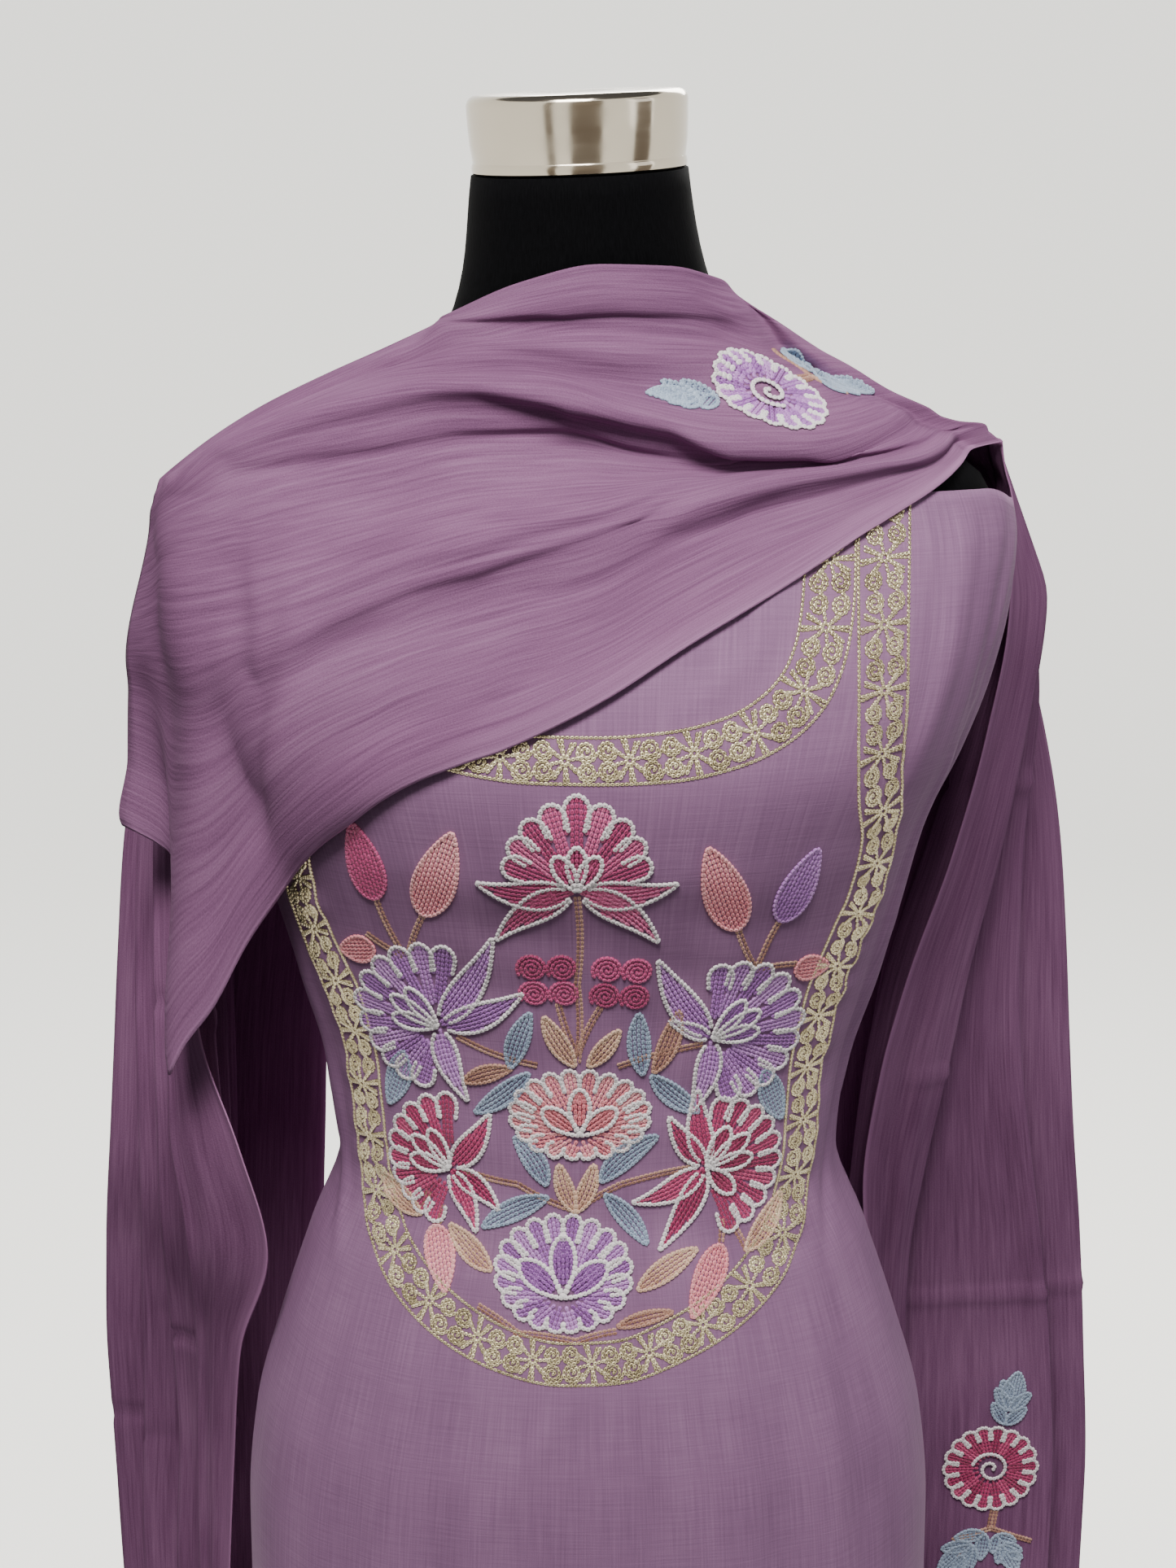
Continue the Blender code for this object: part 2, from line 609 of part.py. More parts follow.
def zigzag(turns, share):
    """A smooth way through the turns, each at an even share."""
    place = np.clip(share, 0, 1) * (len(turns) - 1)
    i = np.minimum(place.astype(int), len(turns) - 2)
    f = (1 - np.cos(math.pi * (place - i))) / 2
    turns = np.array(turns)
    return turns[i] * (1 - f) + turns[i + 1] * f


def beside_body(y, height):
    """How far out the dressed body reaches at a depth, with the fall's clearance."""
    half, front, back = [v + FALL_CLEARANCE for v in cover_section(height)]
    depth = np.where(y < 0, front, back)
    left_over = np.maximum(1 - (np.abs(y) / depth) ** ROUNDNESS, 0.0)
    return half * left_over ** (1 / ROUNDNESS)


def fall_rows(table, heights, share, side, crest):
    """Rows of a fall, from its lower edge up and over the shoulder to its crest."""
    rows = []
    for height in heights:
        front, back, *turns = read_table(table, height)
        y = front + (back - front) * share
        x = np.maximum(side * zigzag(turns, share), beside_body(y, height))
        rows.append(np.stack([side * x, y, np.full(len(x), height)], axis=1))
    top = rows[-1]
    for step in SHOULDER_STEPS:
        rows.append(keep_clear(top * (1 - step) + crest * step, FALL_CLEARANCE))
    rows.append(crest)
    return rest_on_body(rows, FALL_CLEARANCE)


def build_falls(material, collection):
    """Both falls start where the chest drape ends, one seam's gap behind it."""
    behind = np.array([0.0, DUPATTA_WALL + SEAM_GAP, 0.0])
    share = np.linspace(0, 1, RIGHT_FALL_COLUMNS + 1)
    crest = chest_points(0.0, 1 - share) + behind
    right = fall_rows(RIGHT_FALL, RIGHT_FALL_HEIGHTS, share, 1, crest)
    sheet("dupatta_fall_right", right, DUPATTA_WALL, material, collection)
    share = np.linspace(0, 1, LEFT_FALL_COLUMNS + 1)
    along = LEFT_CREST_FROM + (LEFT_CREST_TO - LEFT_CREST_FROM) * share
    crest = np.concatenate([chest_points(a, np.array([0.0])) for a in along]) + behind
    left = fall_rows(LEFT_FALL, LEFT_FALL_HEIGHTS, share, -1, crest)
    sheet("dupatta_fall_left", left, DUPATTA_WALL, material, collection)


def main():
    for existing in list(bpy.data.objects):
        bpy.data.objects.remove(existing)
    collection = bpy.data.collections.new("salwar_kameez_suit")
    bpy.context.scene.collection.children.link(collection)
    chrome = new_material("chrome", (0.62, 0.60, 0.55), 0.08, 1.0)
    jersey = new_material("black_jersey", (0.004, 0.004, 0.005), 0.9)
    mauve = new_material("mauve_silk", (0.27, 0.165, 0.262), 0.5)
    shawl = new_material("mauve_crepe", (0.27, 0.155, 0.245), 0.6)
    build_form(jersey, collection)
    build_neck_cap(chrome, collection)
    build_stand(chrome, collection)
    build_kameez(mauve, collection)
    build_belt(mauve, collection)
    build_legs(mauve, collection)
    build_chest_drape(shawl, collection)
    build_falls(shawl, collection)


main()
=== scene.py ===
# %% [markdown]
# # A salwar kameez suit on a limbless dress form
#
# The suit has three garments. The kameez is a straight tunic with slit sides and an embroidered
# yoke, the salwar is a pair of gathered trousers, and the dupatta is a long shawl that lies across
# the chest and falls behind both shoulders. The imported model gives the frame: every piece made
# here takes its place from it.

# %% Load the imported model
import math

import bmesh
import bpy
import numpy as np
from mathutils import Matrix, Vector


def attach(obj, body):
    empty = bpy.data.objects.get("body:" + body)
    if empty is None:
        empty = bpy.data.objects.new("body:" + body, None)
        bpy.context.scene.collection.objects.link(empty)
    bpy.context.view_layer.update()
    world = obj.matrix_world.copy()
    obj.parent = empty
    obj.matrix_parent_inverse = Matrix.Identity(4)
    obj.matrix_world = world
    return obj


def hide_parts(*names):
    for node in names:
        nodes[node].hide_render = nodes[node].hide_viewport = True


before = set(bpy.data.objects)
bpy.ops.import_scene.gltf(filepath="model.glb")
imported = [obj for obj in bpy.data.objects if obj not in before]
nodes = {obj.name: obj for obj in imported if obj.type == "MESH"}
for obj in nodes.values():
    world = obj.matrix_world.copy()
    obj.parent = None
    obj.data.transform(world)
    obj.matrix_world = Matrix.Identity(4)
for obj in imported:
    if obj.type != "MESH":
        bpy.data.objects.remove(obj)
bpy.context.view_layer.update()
print("nodes:", ", ".join(sorted(nodes)))

# %% [markdown]
# ## Smooth tables
#
# A garment is easiest to describe as a short table: a row for each height, with how wide and how
# deep the body is there. A curve that runs through the rows without overshooting turns the table
# into a smooth shape. This is safer than a plain spline, which can bulge between two rows.

# %% A curve through the rows of a table
def through(keys, values, at):
    span = np.diff(keys)
    slope = np.diff(values) / span
    tangent = np.zeros_like(values)
    for i in range(1, len(values) - 1):
        if slope[i - 1] * slope[i] > 0:
            tangent[i] = 2 * slope[i - 1] * slope[i] / (slope[i - 1] + slope[i])
    tangent[0], tangent[-1] = slope[0], slope[-1]
    at = np.clip(at, keys[0], keys[-1])
    i = np.clip(np.searchsorted(keys, at) - 1, 0, len(span) - 1)
    f = (at - keys[i]) / span[i]
    start = (1 + 2 * f) * (1 - f) ** 2 * values[i] + f * (1 - f) ** 2 * span[i] * tangent[i]
    end = f * f * (3 - 2 * f) * values[i + 1] + f * f * (f - 1) * span[i] * tangent[i + 1]
    return start + end


def read_table(table, at):
    return [through(table[:, 0], table[:, c], at) for c in range(1, table.shape[1])]


def smooth_step(share):
    share = np.clip(share, 0.0, 1.0)
    return share * share * (3 - 2 * share)


print("halfway up a smooth step:", smooth_step(0.5))

# %% [markdown]
# ## The sizes of the body and of the cloth on it
#
# Each row gives a height, then the half width, the depth to the front and the depth to the back,
# all in metres. The first table is the dress form, the second the kameez, which stands a little
# away from it and flares below the waist.

# %% Tables of the form and the kameez
ROUNDNESS = 2.2
CLOTH_GAP = 0.0006
REST_GAP = 0.0008
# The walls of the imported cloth, and the thinner shell that shows of the dupatta
KAMEEZ_WALL = 0.0016
SALWAR_WALL = 0.0016
DUPATTA_WALL = 0.0012
CREPE_SHELL = 0.0008

FORM_SECTIONS = np.array([
    (0.800, 0.1600, 0.094, 0.106), (0.850, 0.1700, 0.104, 0.120), (0.900, 0.1660, 0.107, 0.117),
    (0.950, 0.1530, 0.103, 0.104), (1.000, 0.1360, 0.094, 0.088), (1.050, 0.1215, 0.087, 0.078),
    (1.100, 0.1260, 0.090, 0.081), (1.150, 0.1360, 0.097, 0.087), (1.190, 0.1460, 0.108, 0.091),
    (1.230, 0.1570, 0.123, 0.095), (1.265, 0.1720, 0.129, 0.098), (1.300, 0.1880, 0.122, 0.099),
    (1.335, 0.1980, 0.107, 0.098), (1.365, 0.2010, 0.090, 0.094), (1.390, 0.1965, 0.074, 0.085),
    (1.402, 0.1850, 0.067, 0.079), (1.414, 0.1630, 0.062, 0.075), (1.427, 0.1310, 0.058, 0.071),
    (1.441, 0.0990, 0.055, 0.067), (1.456, 0.0760, 0.053, 0.063), (1.476, 0.0640, 0.052, 0.058),
    (1.502, 0.0567, 0.052, 0.053), (1.538, 0.0519, 0.0525, 0.0505),
])
KAMEEZ_SECTIONS = np.array([
    (0.420, 0.232, 0.168, 0.165), (0.500, 0.220, 0.160, 0.158), (0.600, 0.206, 0.150, 0.151),
    (0.700, 0.194, 0.137, 0.145), (0.800, 0.1845, 0.126, 0.138), (0.850, 0.1835, 0.122, 0.136),
    (0.900, 0.178, 0.121, 0.130), (0.950, 0.164, 0.116, 0.116), (1.000, 0.147, 0.106, 0.100),
    (1.050, 0.1295, 0.097, 0.088), (1.100, 0.1345, 0.099, 0.090), (1.150, 0.149, 0.107, 0.095),
    (1.190, 0.160, 0.119, 0.099), (1.230, 0.171, 0.134, 0.103), (1.265, 0.187, 0.139, 0.106),
    (1.300, 0.200, 0.131, 0.106), (1.335, 0.208, 0.114, 0.104), (1.365, 0.2105, 0.094, 0.098),
    (1.390, 0.2055, 0.070, 0.080), (1.402, 0.185, 0.060, 0.070), (1.440, 0.030, 0.020, 0.020),
])
KAMEEZ_TOP, KAMEEZ_HEM, KAMEEZ_BACK_TOP = 1.390, 0.420, 1.386
CORNER_DROP = 0.007
SLIT_TOP, SLIT_ANGLE = 0.780, math.radians(7.0)
FLARE_TOP, FLARE_WAVES, FLARE_DEPTH = 0.860, 7, 0.011
print("kameez length:", round(KAMEEZ_TOP - KAMEEZ_HEM, 3), "m")


# %% Sections and the surface that the dupatta lies on
def outline(half, front, back, angle):
    across, along = np.sin(angle), np.cos(angle)
    depth = np.where(along > 0, front, back)
    x = half * np.sign(across) * np.abs(across) ** (2 / ROUNDNESS)
    y = -depth * np.sign(along) * np.abs(along) ** (2 / ROUNDNESS)
    return x, y


def kameez_section(height):
    own = read_table(KAMEEZ_SECTIONS, height)
    form = read_table(FORM_SECTIONS, height)
    rest = KAMEEZ_WALL / 2 + REST_GAP
    return [np.maximum(a, b + rest) for a, b in zip(own, form)]


def flare(height):
    return FLARE_DEPTH * smooth_step((FLARE_TOP - height) / (FLARE_TOP - KAMEEZ_HEM))


def cover_rows(height):
    form = [v + KAMEEZ_WALL + REST_GAP for v in read_table(FORM_SECTIONS, height)]
    kameez = [v + KAMEEZ_WALL / 2 + flare(height) for v in kameez_section(height)]
    return [np.maximum(a, b) for a, b in zip(form, kameez)]


# Worked out once, every quarter of a millimetre, because it is asked for very often
COVER_HEIGHTS = np.arange(0.40, 1.60, 0.00025)
COVER_SIZES = cover_rows(COVER_HEIGHTS)


def cover_section(height):
    return [np.interp(height, COVER_HEIGHTS, sizes) for sizes in COVER_SIZES]


def cover_level(points):
    half, front, back = cover_section(points[:, 2])
    depth = np.where(points[:, 1] < 0, front, back)
    x = np.abs(points[:, 0]) / half
    y = np.abs(points[:, 1]) / depth
    return (x ** ROUNDNESS + y ** ROUNDNESS) ** (1 / ROUNDNESS) - 1


def cover_slope(points):
    step = 0.0008
    slope = np.stack([
        (cover_level(points + step * axis) - cover_level(points - step * axis)) / (2 * step)
        for axis in np.eye(3)
    ], axis=1)
    size = np.maximum(np.linalg.norm(slope, axis=1), 1e-6)
    return slope / size[:, None], size


def keep_clear(points, clearance, rounds=6):
    points = points.copy()
    for _ in range(rounds):
        direction, size = cover_slope(points)
        short = clearance - cover_level(points) / size
        points += direction * np.maximum(short, 0.0)[:, None]
    return points


def rest_on_body(rows, clearance):
    rows = np.array(rows)
    return keep_clear(rows.reshape(-1, 3), clearance, 3).reshape(rows.shape)


print("cover at the bust:", [round(float(v), 3) for v in cover_section(1.265)])

# %% [markdown]
# ## Helpers for cloth
#
# A sheet of cloth is a grid of points. The grid becomes a mesh whose UV map is measured in metres
# along and across the cloth, so that a weave drawn on it keeps its real size wherever the cloth
# folds. A Solidify modifier then gives it its thickness. Folds that are too fine for the tables
# are added as soft ridges and troughs: each follows a path over the cloth and fades at its ends.

# %% Small helpers for every piece
def take_hold(piece):
    bpy.ops.object.select_all(action="DESELECT")
    piece.select_set(True)
    bpy.context.view_layer.objects.active = piece


def add_piece(name, mesh, *materials):
    piece = bpy.data.objects.new(name, mesh)
    for material in materials:
        mesh.materials.append(material)
    bpy.context.scene.collection.objects.link(piece)
    return piece


def stand_for(piece, node):
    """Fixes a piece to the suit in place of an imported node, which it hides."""
    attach(piece, "root")
    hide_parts(node)


def lengths(rows, axis):
    """How far each point of a grid lies from the first one along its row or column."""
    step = np.linalg.norm(np.diff(rows, axis=axis), axis=2)
    start = np.zeros_like(step.take([0], axis=axis))
    return np.concatenate([start, np.cumsum(step, axis=axis)], axis=axis)


def cells(grid):
    """The four corners of every cell of a grid, in order round the cell."""
    return np.stack([grid[:-1, :-1], grid[:-1, 1:], grid[1:, 1:], grid[1:, :-1]], axis=2)


# %% From a grid of points to a sheet of cloth
def cloth_sheet(name, rows, wall, material, closed=False, selvedge=(False, False)):
    rows = np.asarray(rows)
    count, columns = rows.shape[:2]
    index = np.arange(count * columns).reshape(count, columns)
    laid = rows
    if closed:
        index = np.concatenate([index, index[:, :1]], axis=1)
        laid = np.concatenate([rows, rows[:, :1]], axis=1)
    mesh = bpy.data.meshes.new(name)
    mesh.from_pydata(rows.reshape(-1, 3).tolist(), [], cells(index).reshape(-1, 4).tolist())
    over = lengths(laid, 1).mean(axis=0)
    over = np.broadcast_to(over - over[-1] / 2, laid.shape[:2])
    up = np.broadcast_to(lengths(laid, 0).mean(axis=1)[:, None], laid.shape[:2])
    corners = cells(np.stack([over, up], axis=-1))
    mesh.uv_layers.new(name="cloth").data.foreach_set("uv", corners.reshape(-1).astype(np.float32))
    # How near a point is to a selvedge, so that the weave can be drawn denser and paler there, with
    # a painted highlight along the very edge
    along = lengths(rows, 1)
    near = np.full(rows.shape[:2], 1.0)
    for chosen, distance in zip(selvedge, (along, along[:, -1:] - along)):
        if chosen:
            near = np.minimum(near, distance)
    edge = mesh.attributes.new("edge", "FLOAT", "POINT")
    edge.data.foreach_set("value", near.reshape(-1).astype(np.float32))
    mesh.shade_smooth()
    piece = add_piece(name, mesh, material)
    thicken = piece.modifiers.new("Wall", "SOLIDIFY")
    thicken.thickness = wall
    thicken.offset = 0.0
    take_hold(piece)
    bpy.ops.object.modifier_apply(modifier="Wall")
    print(name, "faces:", len(piece.data.polygons))
    return piece


def soften(rows, rounds, closed=False):
    """Averages each point with its neighbours; the edges move only along themselves."""
    rows = np.array(rows)
    for _ in range(rounds):
        inner = rows.copy()
        inner[1:-1] = (rows[:-2] + 2 * rows[1:-1] + rows[2:]) / 4
        rows = inner.copy()
        if closed:
            rows = (np.roll(inner, 1, axis=1) + 2 * inner + np.roll(inner, -1, axis=1)) / 4
        else:
            rows[:, 1:-1] = (inner[:, :-2] + 2 * inner[:, 1:-1] + inner[:, 2:]) / 4
    return rows


def facing(rows):
    """The direction that each point of a grid faces."""
    along = np.gradient(rows, axis=0)
    across = np.gradient(rows, axis=1)
    normal = np.cross(across, along)
    return normal / np.maximum(np.linalg.norm(normal, axis=2, keepdims=True), 1e-9)


# %% Soft ridges and troughs
def crease(s, t, path, reach, height):
    """One fold over a grid's shares s and t. The path is (s, t) from end to end, reach its half
    width on either side in t, and height is how far it stands out, or sinks if below 0."""
    path = np.array(path)
    order = np.argsort(path[:, 0])
    centre = np.interp(s, path[order, 0], path[order, 1])
    first, last = path[order[0], 0], path[order[-1], 0]
    along = np.clip((s - first) / (last - first), 0, 1)
    fade = np.sin(math.pi * along) ** 0.6 * (s > first) * (s < last)
    off = t - centre
    side = np.where(off < 0, reach[0], reach[1])
    near = np.clip(1 - (off / side) ** 2, 0, 1)
    return height * fade * near * near


def add_relief(rows, relief, direction=None):
    direction = facing(rows) if direction is None else direction
    return rows + direction * relief[..., None]


print("a packed wall and the shell that shows:", DUPATTA_WALL, CREPE_SHELL)

# %% [markdown]
# ## Cloth materials
#
# Both mauve cloths are silk. The kameez and salwar are a smooth, slightly slubbed weave with a soft
# lustre, and the dupatta is a fine crepe whose crinkles run along its length. Each material mixes
# two or three tones of the dye by noise that is stretched along the threads, and the same noise
# raises a shallow bump, so that light catches the slubs. Sheen gives the pale bloom that silk has
# where it turns away. All of it is drawn on the cloth's own UV map, in metres.

# %% Small helpers for materials
def node_tree(name, preview):
    material = bpy.data.materials.new(name)
    material.use_nodes = True
    material.diffuse_color = (*preview, 1.0)
    tree = material.node_tree
    shader = tree.nodes["Principled BSDF"]
    shader.inputs["Base Color"].default_value = (*preview, 1.0)
    return material, tree, shader


def stretched_noise(tree, source, scale, detail=3.0, turn=0.0, rough=0.5):
    mapping = tree.nodes.new("ShaderNodeMapping")
    mapping.inputs["Scale"].default_value = scale
    mapping.inputs["Rotation"].default_value = (0.0, 0.0, turn)
    noise = tree.nodes.new("ShaderNodeTexNoise")
    noise.inputs["Scale"].default_value = 1.0
    noise.inputs["Detail"].default_value = detail
    noise.inputs["Roughness"].default_value = rough
    tree.links.new(source, mapping.inputs["Vector"])
    tree.links.new(mapping.outputs["Vector"], noise.inputs["Vector"])
    return noise.outputs["Fac"]


def ramp(tree, source, stops):
    node = tree.nodes.new("ShaderNodeValToRGB")
    band = node.color_ramp
    while len(band.elements) < len(stops):
        band.elements.new(0.5)
    for element, (place, colour) in zip(band.elements, stops):
        element.position = place
        element.color = (*colour, 1.0)
    tree.links.new(source, node.inputs["Fac"])
    return node.outputs["Color"]


def blend_colours(tree, share, first, second):
    node = tree.nodes.new("ShaderNodeMix")
    node.data_type = "RGBA"
    node.blend_type = "MIX"
    for socket, value in ((node.inputs["Factor"], share), (node.inputs[6], first),
                          (node.inputs[7], second)):
        if hasattr(value, "is_output"):
            tree.links.new(value, socket)
        else:
            socket.default_value = value
    return node.outputs[2]


def add_heights(tree, *terms):
    """Adds up noises, each with its own weight."""
    total = None
    for source, weight in terms:
        node = tree.nodes.new("ShaderNodeMath")
        node.operation = "MULTIPLY_ADD"
        tree.links.new(source, node.inputs[0])
        node.inputs[1].default_value = weight
        if total is None:
            node.inputs[2].default_value = 0.0
        else:
            tree.links.new(total, node.inputs[2])
        total = node.outputs[0]
    return total


def raise_bump(tree, shader, height, distance, strength=1.0):
    bump = tree.nodes.new("ShaderNodeBump")
    bump.inputs["Distance"].default_value = distance
    bump.inputs["Strength"].default_value = strength
    tree.links.new(height, bump.inputs["Height"])
    tree.links.new(bump.outputs["Normal"], shader.inputs["Normal"])


def cloth_map(tree):
    node = tree.nodes.new("ShaderNodeUVMap")
    node.uv_map = "cloth"
    return node.outputs["UV"]


print("material helpers ready")


# %% Silk for the kameez and salwar
# How strongly a cloth blooms where it turns away
BLOOM = 0.035


def silk(name, deep, middle, light):
    """Plain weave: fine upright threads, a few thicker slubs and faint long streaks."""
    material, tree, shader = node_tree(name, middle)
    place = cloth_map(tree)
    streaks = stretched_noise(tree, place, (900, 22, 1), 4.0)
    broad = stretched_noise(tree, place, (26, 5, 1), 2.0)
    weft = stretched_noise(tree, place, (34, 1100, 1), 2.0)
    grain = stretched_noise(tree, place, (2400, 2400, 1), 1.0)
    tone = add_heights(tree, (streaks, 0.32), (broad, 0.30), (weft, 0.20), (grain, 0.18))
    colour = ramp(tree, tone, ((0.38, deep), (0.50, middle), (0.64, light)))
    tree.links.new(colour, shader.inputs["Base Color"])
    shader.inputs["Roughness"].default_value = 0.46
    shader.inputs["Specular IOR Level"].default_value = 0.01
    shader.inputs["Sheen Weight"].default_value = BLOOM
    shader.inputs["Sheen Roughness"].default_value = 0.30
    shader.inputs["Sheen Tint"].default_value = (0.95, 0.72, 0.92, 1.0)
    slubs = add_heights(tree, (streaks, 0.6), (weft, 0.5), (grain, 0.3))
    raise_bump(tree, shader, slubs, 0.00030, 0.6)
    return material


mauve_silk = silk("mauve_silk_cloth", (0.232, 0.120, 0.222), (0.288, 0.150, 0.272),
                  (0.358, 0.196, 0.334))
print("silk:", mauve_silk.name)


# %% Crepe for the dupatta
def crepe(name, deep, middle, light):
    """Crinkled cloth: the crinkles run along v, which is the length of the dupatta."""
    material, tree, shader = node_tree(name, middle)
    place = cloth_map(tree)
    fine = stretched_noise(tree, place, (950, 20, 1), 4.0, rough=0.6)
    wide = stretched_noise(tree, place, (380, 11, 1), 3.0, turn=0.015)
    cloud = stretched_noise(tree, place, (18, 7, 1), 2.0)
    grain = stretched_noise(tree, place, (2000, 1300, 1), 1.0)
    tone = add_heights(tree, (fine, 0.36), (wide, 0.18), (cloud, 0.28), (grain, 0.18))
    colour = ramp(tree, tone, ((0.38, deep), (0.50, middle), (0.63, light)))
    edge = tree.nodes.new("ShaderNodeAttribute")
    edge.attribute_name = "edge"
    # A pale cord at the very edge, partly the selvedge's own cord and partly a painted highlight
    # where the edge catches the light, then a lighter band that ends in one paler thread
    stops = ((0.0, 0.85), (0.0022, 0.20), (0.0100, 0.16), (0.0106, 0.42), (0.0114, 0.0))
    band = ramp(tree, edge.outputs["Fac"], tuple((at, (value,) * 3) for at, value in stops))
    pale_cord_and_highlight = tuple(min(c * 1.55, 1.0) for c in light)
    colour = blend_colours(tree, band, colour, (*pale_cord_and_highlight, 1.0))
    tree.links.new(colour, shader.inputs["Base Color"])
    shader.inputs["Roughness"].default_value = 0.58
    shader.inputs["Specular IOR Level"].default_value = 0.0
    shader.inputs["Sheen Weight"].default_value = BLOOM
    shader.inputs["Sheen Roughness"].default_value = 0.34
    shader.inputs["Sheen Tint"].default_value = (0.95, 0.72, 0.88, 1.0)
    crinkles = add_heights(tree, (fine, 0.45), (wide, 0.45), (grain, 0.25))
    raise_bump(tree, shader, crinkles, 0.00075, 0.65)
    return material


mauve_crepe = crepe("mauve_crepe_cloth", (0.160, 0.070, 0.142), (0.246, 0.112, 0.218),
                    (0.332, 0.168, 0.296))
# Painted shade: the falls, where several layers hang on each other behind the shoulders, lie in
# shade, so they take a darker copy of the crepe
shaded_fall_crepe = crepe("mauve_crepe_painted_shade", (0.144, 0.058, 0.124), (0.218, 0.095, 0.190),
                      (0.296, 0.142, 0.258))
print("crepes:", mauve_crepe.name, shaded_fall_crepe.name)

# %% [markdown]
# ## The dress form's cover, its cap and its stand
#
# The torso wears a tight black knitted cover. Almost all that shows of it is the neck, so it needs
# a dense knit that eats the light, with a faint fuzz at its edge. The cap and the stand are warm
# polished metal. A perfect mirror looks like a computer's, so the polish has faint wiping marks.

# %% Black knit and polished metal
def knit(name):
    material, tree, shader = node_tree(name, (0.006, 0.006, 0.007))
    place = cloth_map(tree)
    ribs = stretched_noise(tree, place, (900, 120, 1), 2.0)
    fuzz = stretched_noise(tree, place, (340, 300, 1), 4.0)
    tone = add_heights(tree, (ribs, 0.6), (fuzz, 0.4))
    colour = ramp(tree, tone, ((0.38, (0.0010, 0.0010, 0.0014)), (0.66, (0.0030, 0.0030, 0.0038))))
    tree.links.new(colour, shader.inputs["Base Color"])
    shader.inputs["Roughness"].default_value = 0.88
    shader.inputs["Specular IOR Level"].default_value = 0.05
    raise_bump(tree, shader, tone, 0.0004, 0.5)
    return material


def polished(name, colour, roughness):
    material, tree, shader = node_tree(name, colour)
    place = tree.nodes.new("ShaderNodeTexCoord").outputs["Object"]
    smear = stretched_noise(tree, place, (26, 26, 140), 4.0)
    marks = stretched_noise(tree, place, (9, 9, 14), 3.0)
    tone = add_heights(tree, (smear, 0.5), (marks, 0.5))
    dull = tree.nodes.new("ShaderNodeMapRange")
    dull.inputs["From Min"].default_value = 0.35
    dull.inputs["From Max"].default_value = 0.70
    dull.inputs["To Min"].default_value = roughness * 0.6
    dull.inputs["To Max"].default_value = roughness * 1.9
    tree.links.new(tone, dull.inputs["Value"])
    tree.links.new(dull.outputs["Result"], shader.inputs["Roughness"])
    tint = ramp(tree, marks, ((0.35, tuple(c * 0.90 for c in colour)), (0.65, colour)))
    tree.links.new(tint, shader.inputs["Base Color"])
    shader.inputs["Metallic"].default_value = 1.0
    raise_bump(tree, shader, marks, 0.0012, 0.10)
    return material


black_knit = knit("black_knit_cover")
warm_chrome = polished("warm_chrome", (0.52, 0.460, 0.372), 0.12)
print("form and stand:", black_knit.name, warm_chrome.name)

# %% [markdown]
# ## The torso
#
# The torso is lofted again from its own table with many more columns, because a coarse outline
# would show at the neck. It is closed at both ends, and it leans and rolls a little at the top, as
# the neck in the picture does.

# %% Loft the torso
NECK_TOP, LEAN_FROM = 1.538, 1.450
NECK_LEAN, NECK_ROLL, NECK_SHIFT = math.radians(6.4), math.radians(2.3), -0.004
TORSO_COLUMNS, TORSO_ROWS = 88, 84


def torso_rows(columns, count):
    angle = np.linspace(0, 2 * math.pi, columns, endpoint=False)
    rows = []
    for height in np.linspace(FORM_SECTIONS[0, 0], NECK_TOP, count):
        x, y = outline(*read_table(FORM_SECTIONS, height), angle)
        lean = smooth_step((height - LEAN_FROM) / (NECK_TOP - LEAN_FROM))
        pull = y * math.tan(NECK_LEAN) / math.cos(NECK_ROLL) + x * math.tan(NECK_ROLL)
        rows.append(np.stack([x + NECK_SHIFT * lean, y, height + pull * lean], axis=1))
    return np.array(rows)


def closed_solid(name, rows, material):
    rows = np.asarray(rows)
    count, columns = rows.shape[:2]
    index = np.arange(count * columns).reshape(count, columns)
    index = np.concatenate([index, index[:, :1]], axis=1)
    faces = cells(index).reshape(-1, 4).tolist()
    faces.append(list(reversed(index[0, :-1].tolist())))
    faces.append(index[-1, :-1].tolist())
    mesh = bpy.data.meshes.new(name)
    mesh.from_pydata(rows.reshape(-1, 3).tolist(), [], faces)
    laid = np.concatenate([rows, rows[:, :1]], axis=1)
    over = np.broadcast_to(lengths(laid, 1).mean(axis=0), laid.shape[:2])
    up = np.broadcast_to(lengths(laid, 0).mean(axis=1)[:, None], laid.shape[:2])
    corners = cells(np.stack([over, up], axis=-1)).reshape(-1)
    end_faces = np.zeros(4 * columns)
    values = np.concatenate([corners, end_faces]).astype(np.float32)
    mesh.uv_layers.new(name="cloth").data.foreach_set("uv", values)
    mesh.shade_smooth()
    return add_piece(name, mesh, material)


torso = closed_solid("torso_cover", torso_rows(TORSO_COLUMNS, TORSO_ROWS), black_knit)
stand_for(torso, "form_torso")
print("torso faces:", len(torso.data.polygons))

# %% [markdown]
# ## The cap and the stand
#
# Round metal parts are turned on a lathe. The base, the pole and the flange are each a cylinder of
# the right size whose edges are rounded by a Bevel. The cap has a rounded rim and a fine rolled
# edge at its foot, so half of its outline is drawn as a line of points, and Spin turns it round.

# %% Helpers for turned metal
def settle(piece):
    """Puts an object's place, turn and size into its mesh."""
    take_hold(piece)
    bpy.ops.object.transform_apply(location=True, rotation=True, scale=True)


def round_bar(name, radius, low, high, steps, edge, material):
    bpy.ops.object.select_all(action="DESELECT")
    bpy.ops.mesh.primitive_cylinder_add(vertices=steps, radius=radius, depth=high - low,
                                        location=(0.0, 0.0, (low + high) / 2))
    piece = bpy.context.object
    piece.name = name
    piece.data.materials.append(material)
    settle(piece)
    rounding = piece.modifiers.new("Round edge", "BEVEL")
    rounding.width = edge
    rounding.segments = 3
    rounding.limit_method = "ANGLE"
    bpy.ops.object.modifier_apply(modifier="Round edge")
    bpy.ops.object.shade_smooth_by_angle(angle=math.radians(35))
    return piece


